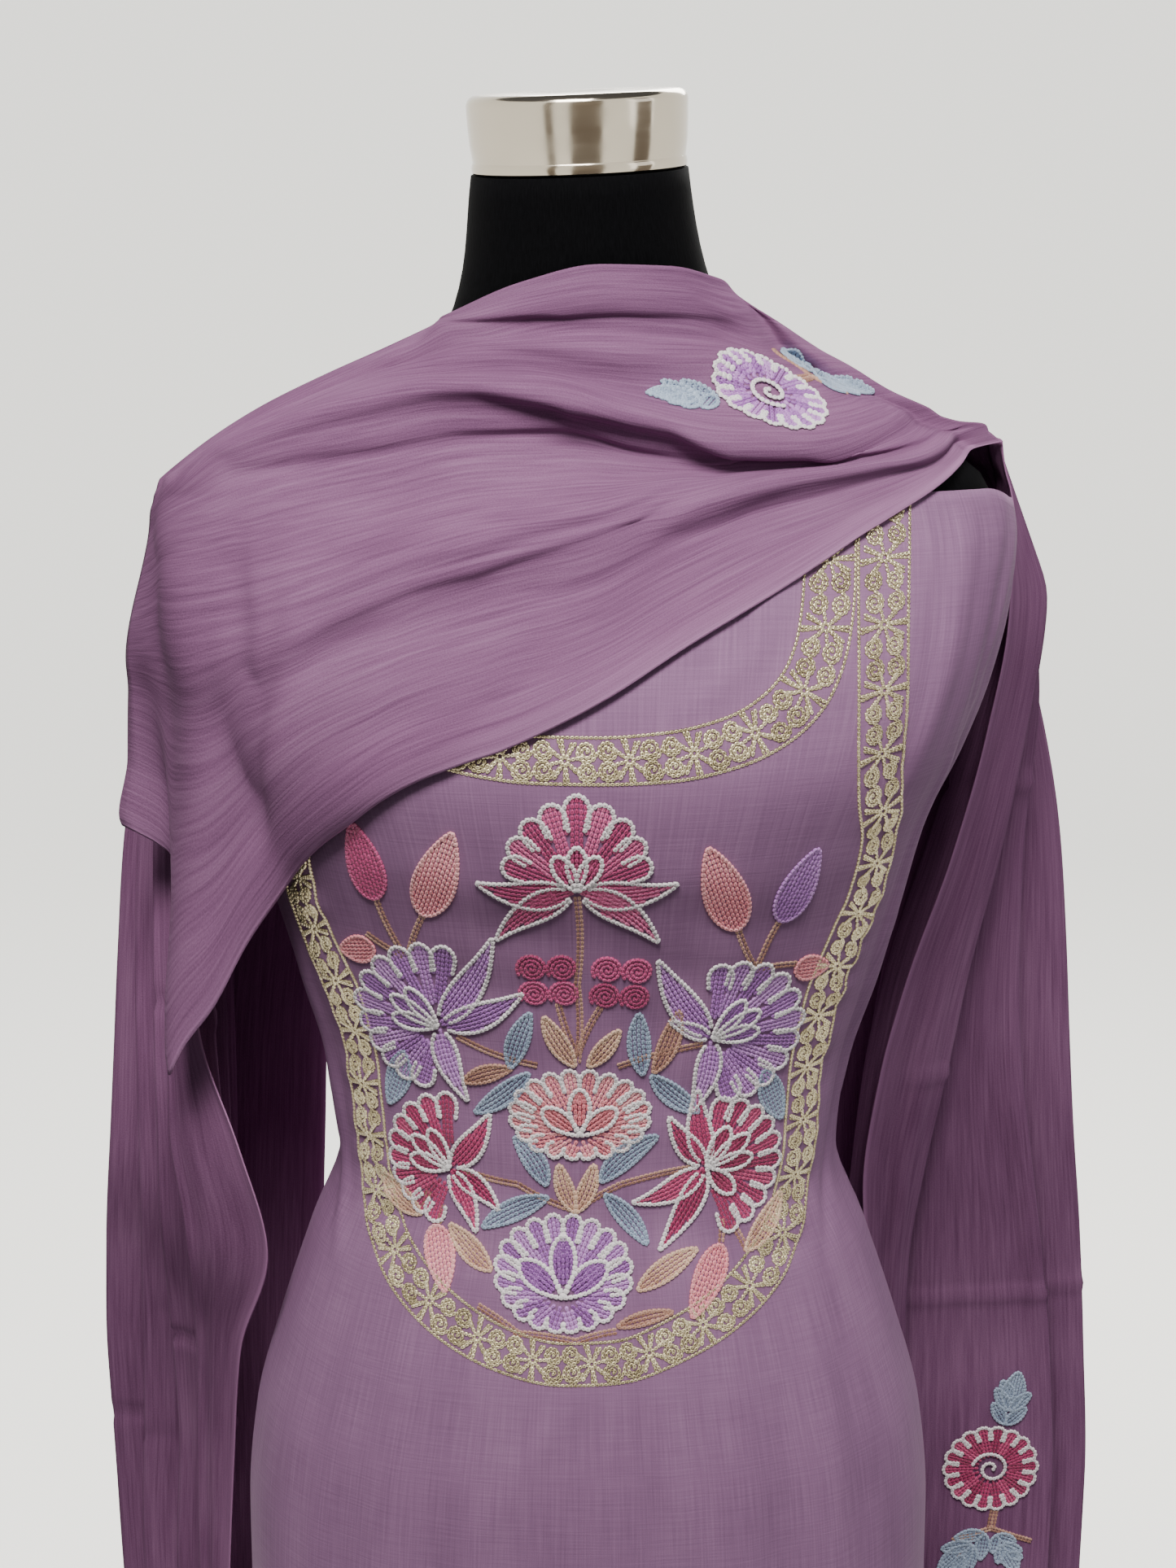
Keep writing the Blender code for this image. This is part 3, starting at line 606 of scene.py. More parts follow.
def turn_profile(name, points, steps, material):
    """Spins a line of (radius, height) points about the upright axis."""
    mesh = bpy.data.meshes.new(name)
    edges = [(i, i + 1) for i in range(len(points) - 1)]
    mesh.from_pydata([(r, 0.0, h) for r, h in points], edges, [])
    piece = add_piece(name, mesh, material)
    take_hold(piece)
    bpy.ops.object.mode_set(mode="EDIT")
    bpy.ops.mesh.select_all(action="SELECT")
    bpy.ops.mesh.spin(steps=steps, angle=2 * math.pi, center=(0, 0, 0), axis=(0, 0, 1))
    bpy.ops.mesh.select_all(action="SELECT")
    bpy.ops.mesh.remove_doubles(threshold=0.00002)
    bpy.ops.mesh.normals_make_consistent(inside=False)
    bpy.ops.object.mode_set(mode="OBJECT")
    bpy.ops.object.shade_smooth_by_angle(angle=math.radians(32))
    return piece


# %% Cap, base plate, pole and flange
CAP_FOOT, CAP_HEAD, CAP_HEIGHT, CAP_EDGE = 0.0514, 0.0526, 0.0355, 0.005


def cap_outline():
    rim = [(CAP_HEAD - CAP_EDGE + CAP_EDGE * math.sin(a),
            CAP_HEIGHT - CAP_EDGE + CAP_EDGE * math.cos(a)) for a in np.linspace(0, math.pi / 2, 9)]
    side = [(CAP_HEAD - 0.0004 * k - 0.00024, CAP_HEIGHT - CAP_EDGE - 0.0085 * (k + 1))
            for k in range(2)]
    roll = [(CAP_FOOT - 0.0006, 0.0052), (CAP_FOOT - 0.0001, 0.0042), (CAP_FOOT + 0.0002, 0.0024),
            (CAP_FOOT, 0.0008), (CAP_FOOT - 0.0008, 0.0)]
    dish = [(0.0, CAP_HEIGHT - 0.0006), (CAP_HEAD * 0.55, CAP_HEIGHT - 0.0005),
            (CAP_HEAD * 0.8, CAP_HEIGHT)]
    return dish + rim + side + roll + [(0.0, 0.0)]


cap = turn_profile("polished_cap", cap_outline(), 128, warm_chrome)
cap.rotation_euler = (NECK_LEAN, -NECK_ROLL, 0.0)
cap.location = (NECK_SHIFT, 0.0, NECK_TOP + CLOTH_GAP)
settle(cap)
plate = round_bar("round_base", radius=0.165, low=0.0, high=0.010, steps=128, edge=0.0022,
                  material=warm_chrome)
pole = round_bar("upright_pole", radius=0.0125, low=0.0106, high=0.7868, steps=48, edge=0.0006,
                 material=warm_chrome)
flange = round_bar("pole_flange", radius=0.045, low=0.7874, high=0.7994, steps=96, edge=0.0016,
                   material=warm_chrome)
for piece, node in ((cap, "neck_cap"), (plate, "base_plate"), (pole, "stand_pole"),
                    (flange, "stand_flange")):
    stand_for(piece, node)
print("cap faces:", len(cap.data.polygons))

# %% [markdown]
# ## The kameez
#
# The front and the back are two panels that meet at the side seams, open into slits below the
# hips and flare at the hem. Each is a grid: the turn runs from seam to seam, the height from hem
# to top. The top edge is straight, because the cloth is laid round the form before its neck is
# cut. The creases are listed one by one: soft upright folds in the skirt, a drag from the armhole
# and small puckers near the stitching.

# %% The panels' points
def kameez_points(turn, height, side):
    # The top corners sink a little over the shoulders
    corner = smooth_step((np.abs(turn) - 1.15) / 0.35) * smooth_step((height - 1.34) / 0.05)
    z = height - CORNER_DROP * corner
    angle = turn if side > 0 else math.pi - turn
    half, front, back = kameez_section(z)
    x, y = outline(half, front, back, angle)
    swell = 1 + flare(height) / half * np.cos(FLARE_WAVES * turn)
    return np.stack([x * swell, y * swell - side * CLOTH_GAP / 2, z], axis=-1)


def kameez_grid(columns, count, top, side):
    heights = np.linspace(KAMEEZ_HEM, top, count)
    slit = smooth_step((SLIT_TOP - heights) / (SLIT_TOP - KAMEEZ_HEM))
    reach = math.pi / 2 - SLIT_ANGLE * slit
    share = np.linspace(-1, 1, columns)
    turn = reach[:, None] * share[None, :]
    return kameez_points(turn, np.broadcast_to(heights[:, None], turn.shape), side)


def from_middle(rows):
    """Distance along each row, counted from the centre of the panel."""
    along = lengths(rows, 1)
    middle = rows.shape[1] // 2
    return along - along[:, middle:middle + 1]


# %% Folds of the two panels
# Height and distance from the middle at three places, then the reach to either side and how far
# the fold stands out
FRONT_FOLDS = (
    (((0.430, -0.150), (0.760, -0.118), (0.985, -0.085)), (0.020, 0.026), 0.0030),
    (((0.430, -0.075), (0.700, -0.070), (0.930, -0.060)), (0.022, 0.020), 0.0020),
    (((0.430, 0.010), (0.640, 0.016), (0.900, 0.020)), (0.026, 0.024), 0.0016),
    (((0.430, 0.090), (0.720, 0.082), (0.960, 0.070)), (0.020, 0.026), 0.0024),
    (((0.430, 0.170), (0.760, 0.140), (1.020, 0.112)), (0.024, 0.020), 0.0032),
    (((0.430, -0.112), (0.650, -0.095), (0.880, -0.070)), (0.014, 0.014), -0.0018),
    (((0.430, 0.130), (0.690, 0.112), (0.900, 0.092)), (0.013, 0.016), -0.0020),
    (((1.060, -0.150), (1.130, -0.158), (1.230, -0.176)), (0.010, 0.012), 0.0026),
    (((1.080, 0.158), (1.170, 0.170), (1.300, 0.215)), (0.010, 0.014), 0.0034),
    (((1.120, 0.180), (1.230, 0.200), (1.350, 0.236)), (0.008, 0.010), -0.0026),
    (((1.000, 0.128), (1.070, 0.146), (1.160, 0.160)), (0.008, 0.009), -0.0018),
    (((1.000, -0.140), (1.060, -0.150), (1.140, -0.150)), (0.008, 0.010), 0.0022),
    (((1.290, 0.030), (1.325, 0.075), (1.385, 0.098)), (0.012, 0.016), 0.0016),
    (((1.300, 0.000), (1.335, 0.045), (1.388, 0.070)), (0.012, 0.012), -0.0012),
    (((1.255, 0.160), (1.310, 0.176), (1.389, 0.186)), (0.012, 0.014), 0.0022),
    (((1.180, 0.175), (1.260, 0.205), (1.389, 0.222)), (0.010, 0.010), -0.0020),
    (((0.880, -0.050), (0.925, -0.030), (0.966, 0.000)), (0.012, 0.012), 0.0010),
    (((0.860, 0.060), (0.915, 0.040), (0.968, 0.028)), (0.012, 0.014), 0.0010),
    (((0.430, -0.200), (0.640, -0.172), (0.900, -0.140)), (0.014, 0.018), 0.0024),
    (((0.430, 0.215), (0.620, 0.185), (0.880, 0.152)), (0.016, 0.014), 0.0022),
)
BACK_FOLDS = (
    (((0.430, -0.140), (0.700, -0.118), (0.960, -0.080)), (0.022, 0.024), 0.0030),
    (((0.430, -0.040), (0.720, -0.036), (1.000, -0.028)), (0.024, 0.022), 0.0022),
    (((0.430, 0.055), (0.690, 0.048), (0.980, 0.036)), (0.022, 0.024), 0.0026),
    (((0.430, 0.150), (0.740, 0.128), (1.000, 0.096)), (0.024, 0.020), 0.0030),
    (((1.020, -0.110), (1.120, -0.060), (1.200, 0.000)), (0.012, 0.014), 0.0020),
    (((1.030, 0.120), (1.130, 0.070), (1.210, 0.020)), (0.012, 0.014), 0.0020),
)


# %% Fold and finish the panels
def folded(rows, folds):
    off, height = from_middle(rows), rows[..., 2]
    relief = sum(crease(height, off, path, reach, high) for path, reach, high in folds)
    return add_relief(rows, relief)


def puckers(rows):
    """Stitching shortens the cloth a little, so it ripples across the sides of the yoke."""
    off, height = from_middle(rows), rows[..., 2]
    edge = np.interp(height, (0.98, 1.02, 1.07, 1.14, 1.20, 1.24, 1.30, 1.39),
                     (0.070, 0.100, 0.116, 0.124, 0.143, 0.148, 0.140, 0.139))
    side = np.sign(off)
    band = np.exp(-((np.abs(off) - edge - 0.003) / 0.013) ** 2)
    reach = smooth_step((height - 0.985) / 0.05) * smooth_step((1.330 - height) / 0.09)
    wave = np.sin(2 * math.pi * (height / 0.027 + 0.8 * np.sin(height * 31 + side) + 0.35 * side))
    wave = wave + 0.45 * np.sin(2 * math.pi * (height / 0.0155 + side))
    inner = np.exp(-((np.abs(off) - 0.055) / 0.05) ** 2) * smooth_step((height - 0.98) / 0.05)
    inner = inner * smooth_step((1.25 - height) / 0.06)
    ripple = np.sin(off * 95 + height * 62) * np.sin(height * 118 - off * 41)
    return add_relief(rows, 0.0011 * band * reach * wave + 0.0007 * inner * ripple)


front_rows = kameez_grid(columns=153, count=200, top=KAMEEZ_TOP, side=1)
front_rows = puckers(folded(front_rows, FRONT_FOLDS))
back_rows = kameez_grid(columns=85, count=96, top=KAMEEZ_BACK_TOP, side=-1)
back_rows = folded(back_rows[:, ::-1], BACK_FOLDS)
kameez_front = cloth_sheet("kameez_front_cloth", front_rows, KAMEEZ_WALL, mauve_silk)
kameez_back = cloth_sheet("kameez_back_cloth", back_rows, KAMEEZ_WALL, mauve_silk)
for piece, node in ((kameez_front, "kameez_front"), (kameez_back, "kameez_back")):
    stand_for(piece, node)

# %% [markdown]
# ## The salwar
#
# A salwar has a plain band round the hips, and two wide legs gathered to it that narrow to straight
# cuffs. Only the bottom shows in a view from the side, under the kameez, so its gathers are simple
# pleats, the deepest halfway down.

# %% The shape of a leg
CROTCH_X, BELT_TOP, BELT_BOTTOM, BELT_REST = -0.018, 1.004, 0.900, 0.0012
CROTCH_TOP, CROTCH_BOTTOM, CUFF_TOP, CUFF_BOTTOM = 0.700, 0.590, 0.115, 0.070
CUFF_RADIUS_X, CUFF_RADIUS_Y = 0.070, 0.050
LEG_PLEATS, LEG_PLEAT_DEPTH = 8, 0.008
LEG_COLUMNS, LEG_ROWS = 89, 72
BELT_COLUMNS, BELT_ROWS = 120, 14
CUFF_COLUMNS, CUFF_ROWS = 72, 8


def salwar_seat(height):
    form = [v + SALWAR_WALL / 2 + BELT_REST for v in read_table(FORM_SECTIONS, max(height, 0.850))]
    ease = 0.003 * smooth_step((BELT_BOTTOM - height) / 0.08)
    return [v + ease for v in form]


def leg_row(height, side, columns):
    turn = np.linspace(0, 1, columns)
    closing = smooth_step((CROTCH_TOP - height) / (CROTCH_TOP - CROTCH_BOTTOM))
    falling = smooth_step((CROTCH_TOP - height) / (CROTCH_TOP - CUFF_TOP))
    half, front, back = salwar_seat(height)
    centre_line = side * math.asin((abs(CROTCH_X) / half) ** (ROUNDNESS / 2))
    seat_x, seat_y = outline(half, front, back, -centre_line + turn * (math.pi + 2 * centre_line))
    seam = (SALWAR_WALL + CLOTH_GAP) / 2
    seat_x = np.maximum(seat_x, side * CROTCH_X + seam)
    width = (half - side * CROTCH_X - 2 * seam) / 2 * (1 - falling) + CUFF_RADIUS_X * falling
    front = 0.92 * front * (1 - falling) + CUFF_RADIUS_Y * falling
    back = 0.92 * back * (1 - falling) + CUFF_RADIUS_Y * falling
    middle = side * CROTCH_X + 2 * seam + width
    tube_x, tube_y = outline(width, front, back, -math.pi / 2 + turn * 2 * math.pi)
    tube_x = middle + tube_x
    tube_y[0], tube_y[-1] = -seam, seam
    x = seat_x * (1 - closing) + tube_x * closing
    y = seat_y * (1 - closing) + tube_y * closing
    gather = smooth_step((BELT_BOTTOM - height) / 0.10) * smooth_step((height - CUFF_TOP) / 0.09)
    swell = LEG_PLEAT_DEPTH * (0.45 + 0.55 * closing) * gather * np.sin(math.pi * turn) ** 0.5
    swell = swell * (1 - np.cos(2 * math.pi * LEG_PLEATS * turn)) / 2 / width
    x = x + (x - middle * closing) * swell
    y = y * (1 + swell)
    return np.stack([side * x, y, np.full(columns, height)], axis=1)


# %% Make the band, the legs and the cuffs
# Small sags between the gathers: height and share round the leg, reach, and how far they stand out
LEG_FOLDS = (
    (((0.20, 0.16), (0.34, 0.22), (0.52, 0.24)), (0.030, 0.030), 0.0024),
    (((0.16, 0.40), (0.27, 0.44), (0.40, 0.42)), (0.026, 0.030), 0.0026),
    (((0.30, 0.62), (0.45, 0.60), (0.66, 0.63)), (0.030, 0.026), 0.0020),
    (((0.14, 0.78), (0.25, 0.80), (0.42, 0.76)), (0.028, 0.030), 0.0024),
)


def leg_cloth(name, node, side):
    heights = np.linspace(CUFF_TOP, BELT_BOTTOM - CLOTH_GAP, LEG_ROWS)
    rows = np.array([leg_row(h, side, LEG_COLUMNS) for h in heights])
    share = np.broadcast_to(np.linspace(0, 1, LEG_COLUMNS), rows.shape[:2])
    relief = sum(crease(rows[..., 2], share, path, reach, high) for path, reach, high in LEG_FOLDS)
    rows = add_relief(rows, side * relief)
    piece = cloth_sheet(name, rows, SALWAR_WALL, mauve_silk)
    stand_for(piece, node)


def ring_cloth(name, node, rows):
    piece = cloth_sheet(name, rows, SALWAR_WALL, mauve_silk, closed=True)
    stand_for(piece, node)


def cuff_outline(side, angle):
    """A cuff in plan, with x counted outwards from the middle of the suit."""
    x, y = outline(CUFF_RADIUS_X, CUFF_RADIUS_Y, CUFF_RADIUS_Y, angle)
    return side * CROTCH_X + SALWAR_WALL + CLOTH_GAP + CUFF_RADIUS_X + x, y


belt_angle = np.linspace(0, 2 * math.pi, BELT_COLUMNS, endpoint=False)
belt_rows = []
for height in np.linspace(BELT_BOTTOM, BELT_TOP, BELT_ROWS):
    x, y = outline(*salwar_seat(height), belt_angle)
    belt_rows.append(np.stack([x, y, np.full(BELT_COLUMNS, height)], axis=1))
ring_cloth("salwar_band", "salwar_belt", belt_rows)
cuff_angle = np.linspace(0, 2 * math.pi, CUFF_COLUMNS, endpoint=False)
cuff_heights = np.linspace(CUFF_BOTTOM, CUFF_TOP - CLOTH_GAP, CUFF_ROWS)
for word, side in (("right", 1), ("left", -1)):
    leg_cloth(f"salwar_leg_{word}_cloth", f"salwar_leg_{word}", side)
    x, y = cuff_outline(side, cuff_angle)
    cuff_rows = [np.stack([side * x, side * y, np.full(CUFF_COLUMNS, h)], axis=1)
                 for h in cuff_heights]
    ring_cloth(f"salwar_cuff_{word}_cloth", f"salwar_cuff_{word}", cuff_rows)

# %% [markdown]
# ## The dupatta across the chest
#
# The shawl is laid from the right shoulder, over the base of the neck and across the chest, to the
# left shoulder, where its lower corner hangs. Five lines over the chest give its course: the upper
# edge, the nape, the roll of cloth below it, the ridge of the wide lower panel and the lower edge.
# Each line's points are pushed back in depth until they touch what is under them, and the surface
# is drawn through the five.

# %% The five lines
# Share of the way from the right shoulder, then x, y and height
TOP_EDGE = np.array([
    (0.00, 0.0800, 0.000, 1.4630), (0.05, 0.0705, -0.006, 1.4735), (0.10, 0.0600, 0.000, 1.4840),
    (0.20, 0.0370, 0.000, 1.4930), (0.30, 0.0050, 0.000, 1.4940), (0.40, -0.0300, 0.000, 1.4860),
    (0.50, -0.0680, 0.000, 1.4690), (0.60, -0.0990, 0.000, 1.4550), (0.70, -0.1290, 0.000, 1.4420),
    (0.80, -0.1600, 0.000, 1.4270), (0.90, -0.1890, 0.000, 1.4090), (1.00, -0.2110, 0.000, 1.3920),
])
NAPE = np.array([
    (0.00, 0.1240, 0.000, 1.4415), (0.05, 0.1110, -0.007, 1.4420), (0.10, 0.0980, 0.000, 1.4420),
    (0.20, 0.0690, 0.000, 1.4500), (0.30, 0.0340, 0.000, 1.4540), (0.40, -0.0030, 0.000, 1.4560),
    (0.50, -0.0410, 0.000, 1.4540), (0.60, -0.0780, 0.000, 1.4450), (0.70, -0.1140, 0.000, 1.4330),
    (0.80, -0.1490, 0.000, 1.4190), (0.90, -0.1830, 0.000, 1.4030), (1.00, -0.2130, 0.000, 1.3840),
])
ROLL = np.array([
    (0.00, 0.1660, 0.000, 1.4235), (0.10, 0.1410, 0.000, 1.4165), (0.20, 0.1020, 0.000, 1.4100),
    (0.30, 0.0620, 0.000, 1.4110), (0.40, 0.0220, 0.000, 1.4190), (0.50, -0.0180, 0.000, 1.4310),
    (0.60, -0.0600, 0.000, 1.4290), (0.70, -0.1010, 0.000, 1.4200), (0.80, -0.1410, 0.000, 1.4100),
    (0.90, -0.1790, 0.000, 1.3960), (1.00, -0.2150, 0.000, 1.3740),
])
RIDGE = np.array([
    (0.00, 0.1940, 0.000, 1.4165), (0.05, 0.1800, 0.000, 1.4120), (0.10, 0.1600, 0.000, 1.4040),
    (0.20, 0.1160, 0.000, 1.3960), (0.30, 0.0760, 0.000, 1.3900), (0.40, 0.0360, 0.000, 1.3780),
    (0.50, -0.0040, 0.000, 1.3650), (0.60, -0.0440, 0.000, 1.3580), (0.70, -0.0850, 0.000, 1.3470),
    (0.80, -0.1260, -0.020, 1.3330), (0.90, -0.1720, -0.050, 1.3170),
    (0.95, -0.2050, -0.030, 1.3110), (1.00, -0.2300, 0.000, 1.3060),
])
LOWER_EDGE = np.array([
    (0.00, 0.2035, 0.000, 1.4095), (0.05, 0.1900, 0.000, 1.4065), (0.10, 0.1700, 0.000, 1.3950),
    (0.20, 0.1270, 0.000, 1.3720), (0.30, 0.0860, 0.000, 1.3490), (0.40, 0.0450, 0.000, 1.3270),
    (0.50, 0.0060, 0.000, 1.3040), (0.60, -0.0360, 0.000, 1.2840), (0.70, -0.0780, 0.000, 1.2680),
    (0.78, -0.1120, -0.085, 1.2430), (0.84, -0.1400, -0.082, 1.2100),
    (0.88, -0.1640, -0.078, 1.1740), (0.905, -0.1800, -0.074, 1.1420),
    (0.93, -0.1980, -0.068, 1.1210), (0.95, -0.2085, -0.060, 1.0900),
    (0.97, -0.1960, -0.014, 1.1930), (1.00, -0.2355, 0.000, 1.2170),
])
# Where each line lies across the stretch, from the upper edge to the lower one
LINE_SHARES = np.array([0.0, 0.17, 0.33, 0.60, 1.0])
CHEST_LINES = (TOP_EDGE, NAPE, ROLL, RIDGE, LOWER_EDGE)
print("chest lines:", len(CHEST_LINES), "with", sum(len(line) for line in CHEST_LINES), "points")


# %% Lay the lines on the body
CHEST_CLEARANCE = 0.0019
# A depth in front of everything, where the search for the body begins
IN_FRONT = -0.30


def lay_on_front(points):
    near, far = np.full(len(points), IN_FRONT), points[:, 1].copy()
    probe = points.copy()
    blocked = cover_level(points) < 0
    for _ in range(30):
        middle = (near + far) / 2
        probe[:, 1] = middle
        inside = cover_level(probe) < 0
        far = np.where(inside, middle, far)
        near = np.where(inside, near, middle)
    laid = points.copy()
    laid[:, 1] = np.where(blocked, far, points[:, 1])
    return laid


# %% Folds of the chest stretch
# Main folds: share across, reach above and below, height at the right, the middle and the left
CHEST_FOLDS = (
    (0.07, 0.06, 0.06, 0.001, 0.004, 0.002), (0.19, 0.07, 0.07, 0.001, 0.006, 0.005),
    (0.32, 0.10, 0.06, 0.002, 0.011, 0.008), (0.60, 0.16, 0.08, 0.002, 0.011, 0.002),
    (0.97, 0.12, 0.06, 0.001, 0.003, 0.005),
)


def chest_relief(share, across):
    relief = np.zeros_like(across)
    for centre, above, below, right, middle, left in CHEST_FOLDS:
        height = through(np.array([0.0, 0.5, 1.0]), np.array([right, middle, left]), share)
        offset = across - centre
        reach = np.where(offset < 0, above, below)
        swell = np.cos(np.clip(offset / reach, -1, 1) * math.pi / 2)
        relief += height * np.maximum(0.0, swell) ** 1.5
    return relief


# Sharper folds, by share from the right shoulder and share across: a path, the reach above and
# below it, and how far it stands out
ROLL_FOLDS = (
    (((0.00, 0.500), (0.05, 0.480), (0.125, 0.430), (0.21, 0.345), (0.30, 0.335), (0.36, 0.305),
      (0.43, 0.310), (0.475, 0.320), (0.57, 0.295), (0.65, 0.300), (0.765, 0.310), (0.85, 0.315),
      (0.95, 0.290)), (0.150, 0.034), 0.0072),
    (((0.34, 0.372), (0.45, 0.362), (0.53, 0.368), (0.635, 0.372), (0.755, 0.362), (0.90, 0.350)),
     (0.026, 0.024), 0.0040),
    (((0.22, 0.400), (0.33, 0.430), (0.42, 0.425), (0.54, 0.420)), (0.030, 0.060), -0.0040),
    (((0.29, 0.400), (0.36, 0.480), (0.43, 0.530), (0.51, 0.545), (0.61, 0.565), (0.69, 0.555),
      (0.80, 0.565)), (0.085, 0.030), 0.0062),
    (((0.27, 0.500), (0.375, 0.555), (0.435, 0.610), (0.508, 0.615), (0.612, 0.640), (0.683, 0.630),
      (0.82, 0.650)), (0.030, 0.060), -0.0040),
    (((0.02, 0.600), (0.14, 0.570), (0.25, 0.545), (0.36, 0.600)), (0.022, 0.100), 0.0030),
    (((0.08, 0.080), (0.20, 0.112), (0.29, 0.120), (0.39, 0.118), (0.466, 0.085), (0.56, 0.020)),
     (0.026, 0.040), -0.0030),
    (((0.12, 0.175), (0.29, 0.180), (0.42, 0.165), (0.52, 0.130), (0.60, 0.090), (0.70, 0.050)),
     (0.045, 0.040), 0.0026),
    (((0.56, 0.050), (0.64, 0.110), (0.75, 0.130), (0.88, 0.150)), (0.030, 0.024), 0.0030),
    (((0.58, 0.190), (0.70, 0.205), (0.82, 0.215), (0.94, 0.200)), (0.022, 0.020), -0.0028),
    (((0.66, 0.250), (0.76, 0.252), (0.88, 0.250)), (0.016, 0.016), 0.0022),
)
# Folds that run down the left panel: share across first, then share from the right shoulder
PANEL_FOLDS = (
    (((0.42, 0.930), (0.62, 0.920), (0.75, 0.915), (0.95, 0.930)), (0.026, 0.030), 0.0050),
    (((0.42, 0.885), (0.60, 0.870), (0.72, 0.868), (0.88, 0.876)), (0.024, 0.024), -0.0034),
    (((0.52, 0.800), (0.70, 0.815), (0.85, 0.832), (1.02, 0.852)), (0.034, 0.030), 0.0036),
    (((0.62, 0.700), (0.80, 0.735), (1.02, 0.775)), (0.034, 0.034), 0.0022),
    (((0.64, 0.545), (0.84, 0.590), (1.02, 0.640)), (0.030, 0.034), -0.0016),
)


print("sharp folds across the chest:", len(ROLL_FOLDS) + len(PANEL_FOLDS))


# %% Draw the surface of the chest stretch
CHEST_STEPS_ALONG, CHEST_STEPS_ACROSS = 186, 150


def chest_points(share, across):
    laid = lay_on_front(np.array([read_table(line, share) for line in CHEST_LINES]))
    points = np.stack([through(LINE_SHARES, laid[:, c], across) for c in range(3)], axis=1)
    points = keep_clear(points, CHEST_CLEARANCE)
    direction, _ = cover_slope(points)
    calm = 1 - 0.75 * smooth_step((share - 0.86) / 0.12) * smooth_step((0.50 - across) / 0.12)
    # The cloth stands up a little on the right, between the neck and the shoulder
    stand = np.exp(-((share - 0.03) / 0.085) ** 2) * np.exp(-((across - 0.08) / 0.18) ** 2)
    return (points + direction * (calm * chest_relief(share, across))[:, None]
            + stand[:, None] * np.array([0.001, -0.003, 0.0080]))


chest_share = np.linspace(0, 1, CHEST_STEPS_ALONG)
chest_across = np.linspace(0, 1, CHEST_STEPS_ACROSS)
chest_rows = np.array([chest_points(share, chest_across) for share in chest_share])
chest_rows = soften(chest_rows, 4)
share_grid, across_grid = np.meshgrid(chest_share, chest_across, indexing="ij")
relief = sum(crease(share_grid, across_grid, *fold) for fold in ROLL_FOLDS)
relief = relief + sum(crease(across_grid, share_grid, *fold) for fold in PANEL_FOLDS)
relief = relief * smooth_step(share_grid / 0.06) * smooth_step((1 - share_grid) / 0.05)
# A fold of thin cloth leans over a little, so the relief also slips downwards
leaning = -facing(chest_rows) + np.array([0.0, 0.0, -0.55])
chest_rows = add_relief(chest_rows, relief, leaning)
# Over the left shoulder it lies smooth and round
smooth_rows = soften(chest_rows, 40)
weight = smooth_step((share_grid - 0.86) / 0.08) * smooth_step((0.52 - across_grid) / 0.12)
chest_rows = chest_rows * (1 - weight[..., None]) + smooth_rows * weight[..., None]
chest_rows = rest_on_body(soften(chest_rows, 1), CHEST_CLEARANCE)
chest = cloth_sheet("dupatta_across_chest", chest_rows[:, ::-1], CREPE_SHELL, mauve_crepe,
                    selvedge=(True, False))
stand_for(chest, "dupatta_chest")

# %% [markdown]
# ## The two falls
#
# Behind each shoulder the shawl hangs in flat pleats that lie one behind the other. Each fall is a
# zigzag in plan: the table gives, for a few heights, how far back it reaches and where each turn
# comes. Over the shoulder the zigzag opens into the edge of the stretch across the chest.

# %% Tables of the falls
# Height, depth of the front fold, depth of the back fold, then the turns across
RIGHT_FALL = np.array([
    (0.620, 0.112, 0.172, 0.165, 0.192, 0.150, 0.291, 0.155, 0.316, 0.125),
    (0.750, 0.108, 0.168, 0.165, 0.192, 0.150, 0.290, 0.155, 0.315, 0.120),
    (0.850, 0.098, 0.160, 0.160, 0.190, 0.148, 0.282, 0.155, 0.307, 0.115),
    (0.930, 0.080, 0.150, 0.160, 0.187, 0.150, 0.270, 0.155, 0.298, 0.112),
    (1.000, 0.060, 0.140, 0.155, 0.192, 0.152, 0.257, 0.158, 0.288, 0.110),
    (1.060, 0.046, 0.134, 0.160, 0.200, 0.156, 0.247, 0.162, 0.281, 0.107),
    (1.120, 0.038, 0.130, 0.172, 0.208, 0.166, 0.242, 0.170, 0.275, 0.105),
    (1.190, 0.030, 0.124, 0.192, 0.221, 0.184, 0.240, 0.186, 0.266, 0.105),
    (1.260, 0.024, 0.118, 0.207, 0.231, 0.202, 0.243, 0.200, 0.250, 0.108),
    (1.320, 0.016, 0.110, 0.214, 0.236, 0.214, 0.236, 0.204, 0.228, 0.113),
    (1.350, 0.012, 0.104, 0.214, 0.234, 0.216, 0.228, 0.200, 0.208, 0.115),
])
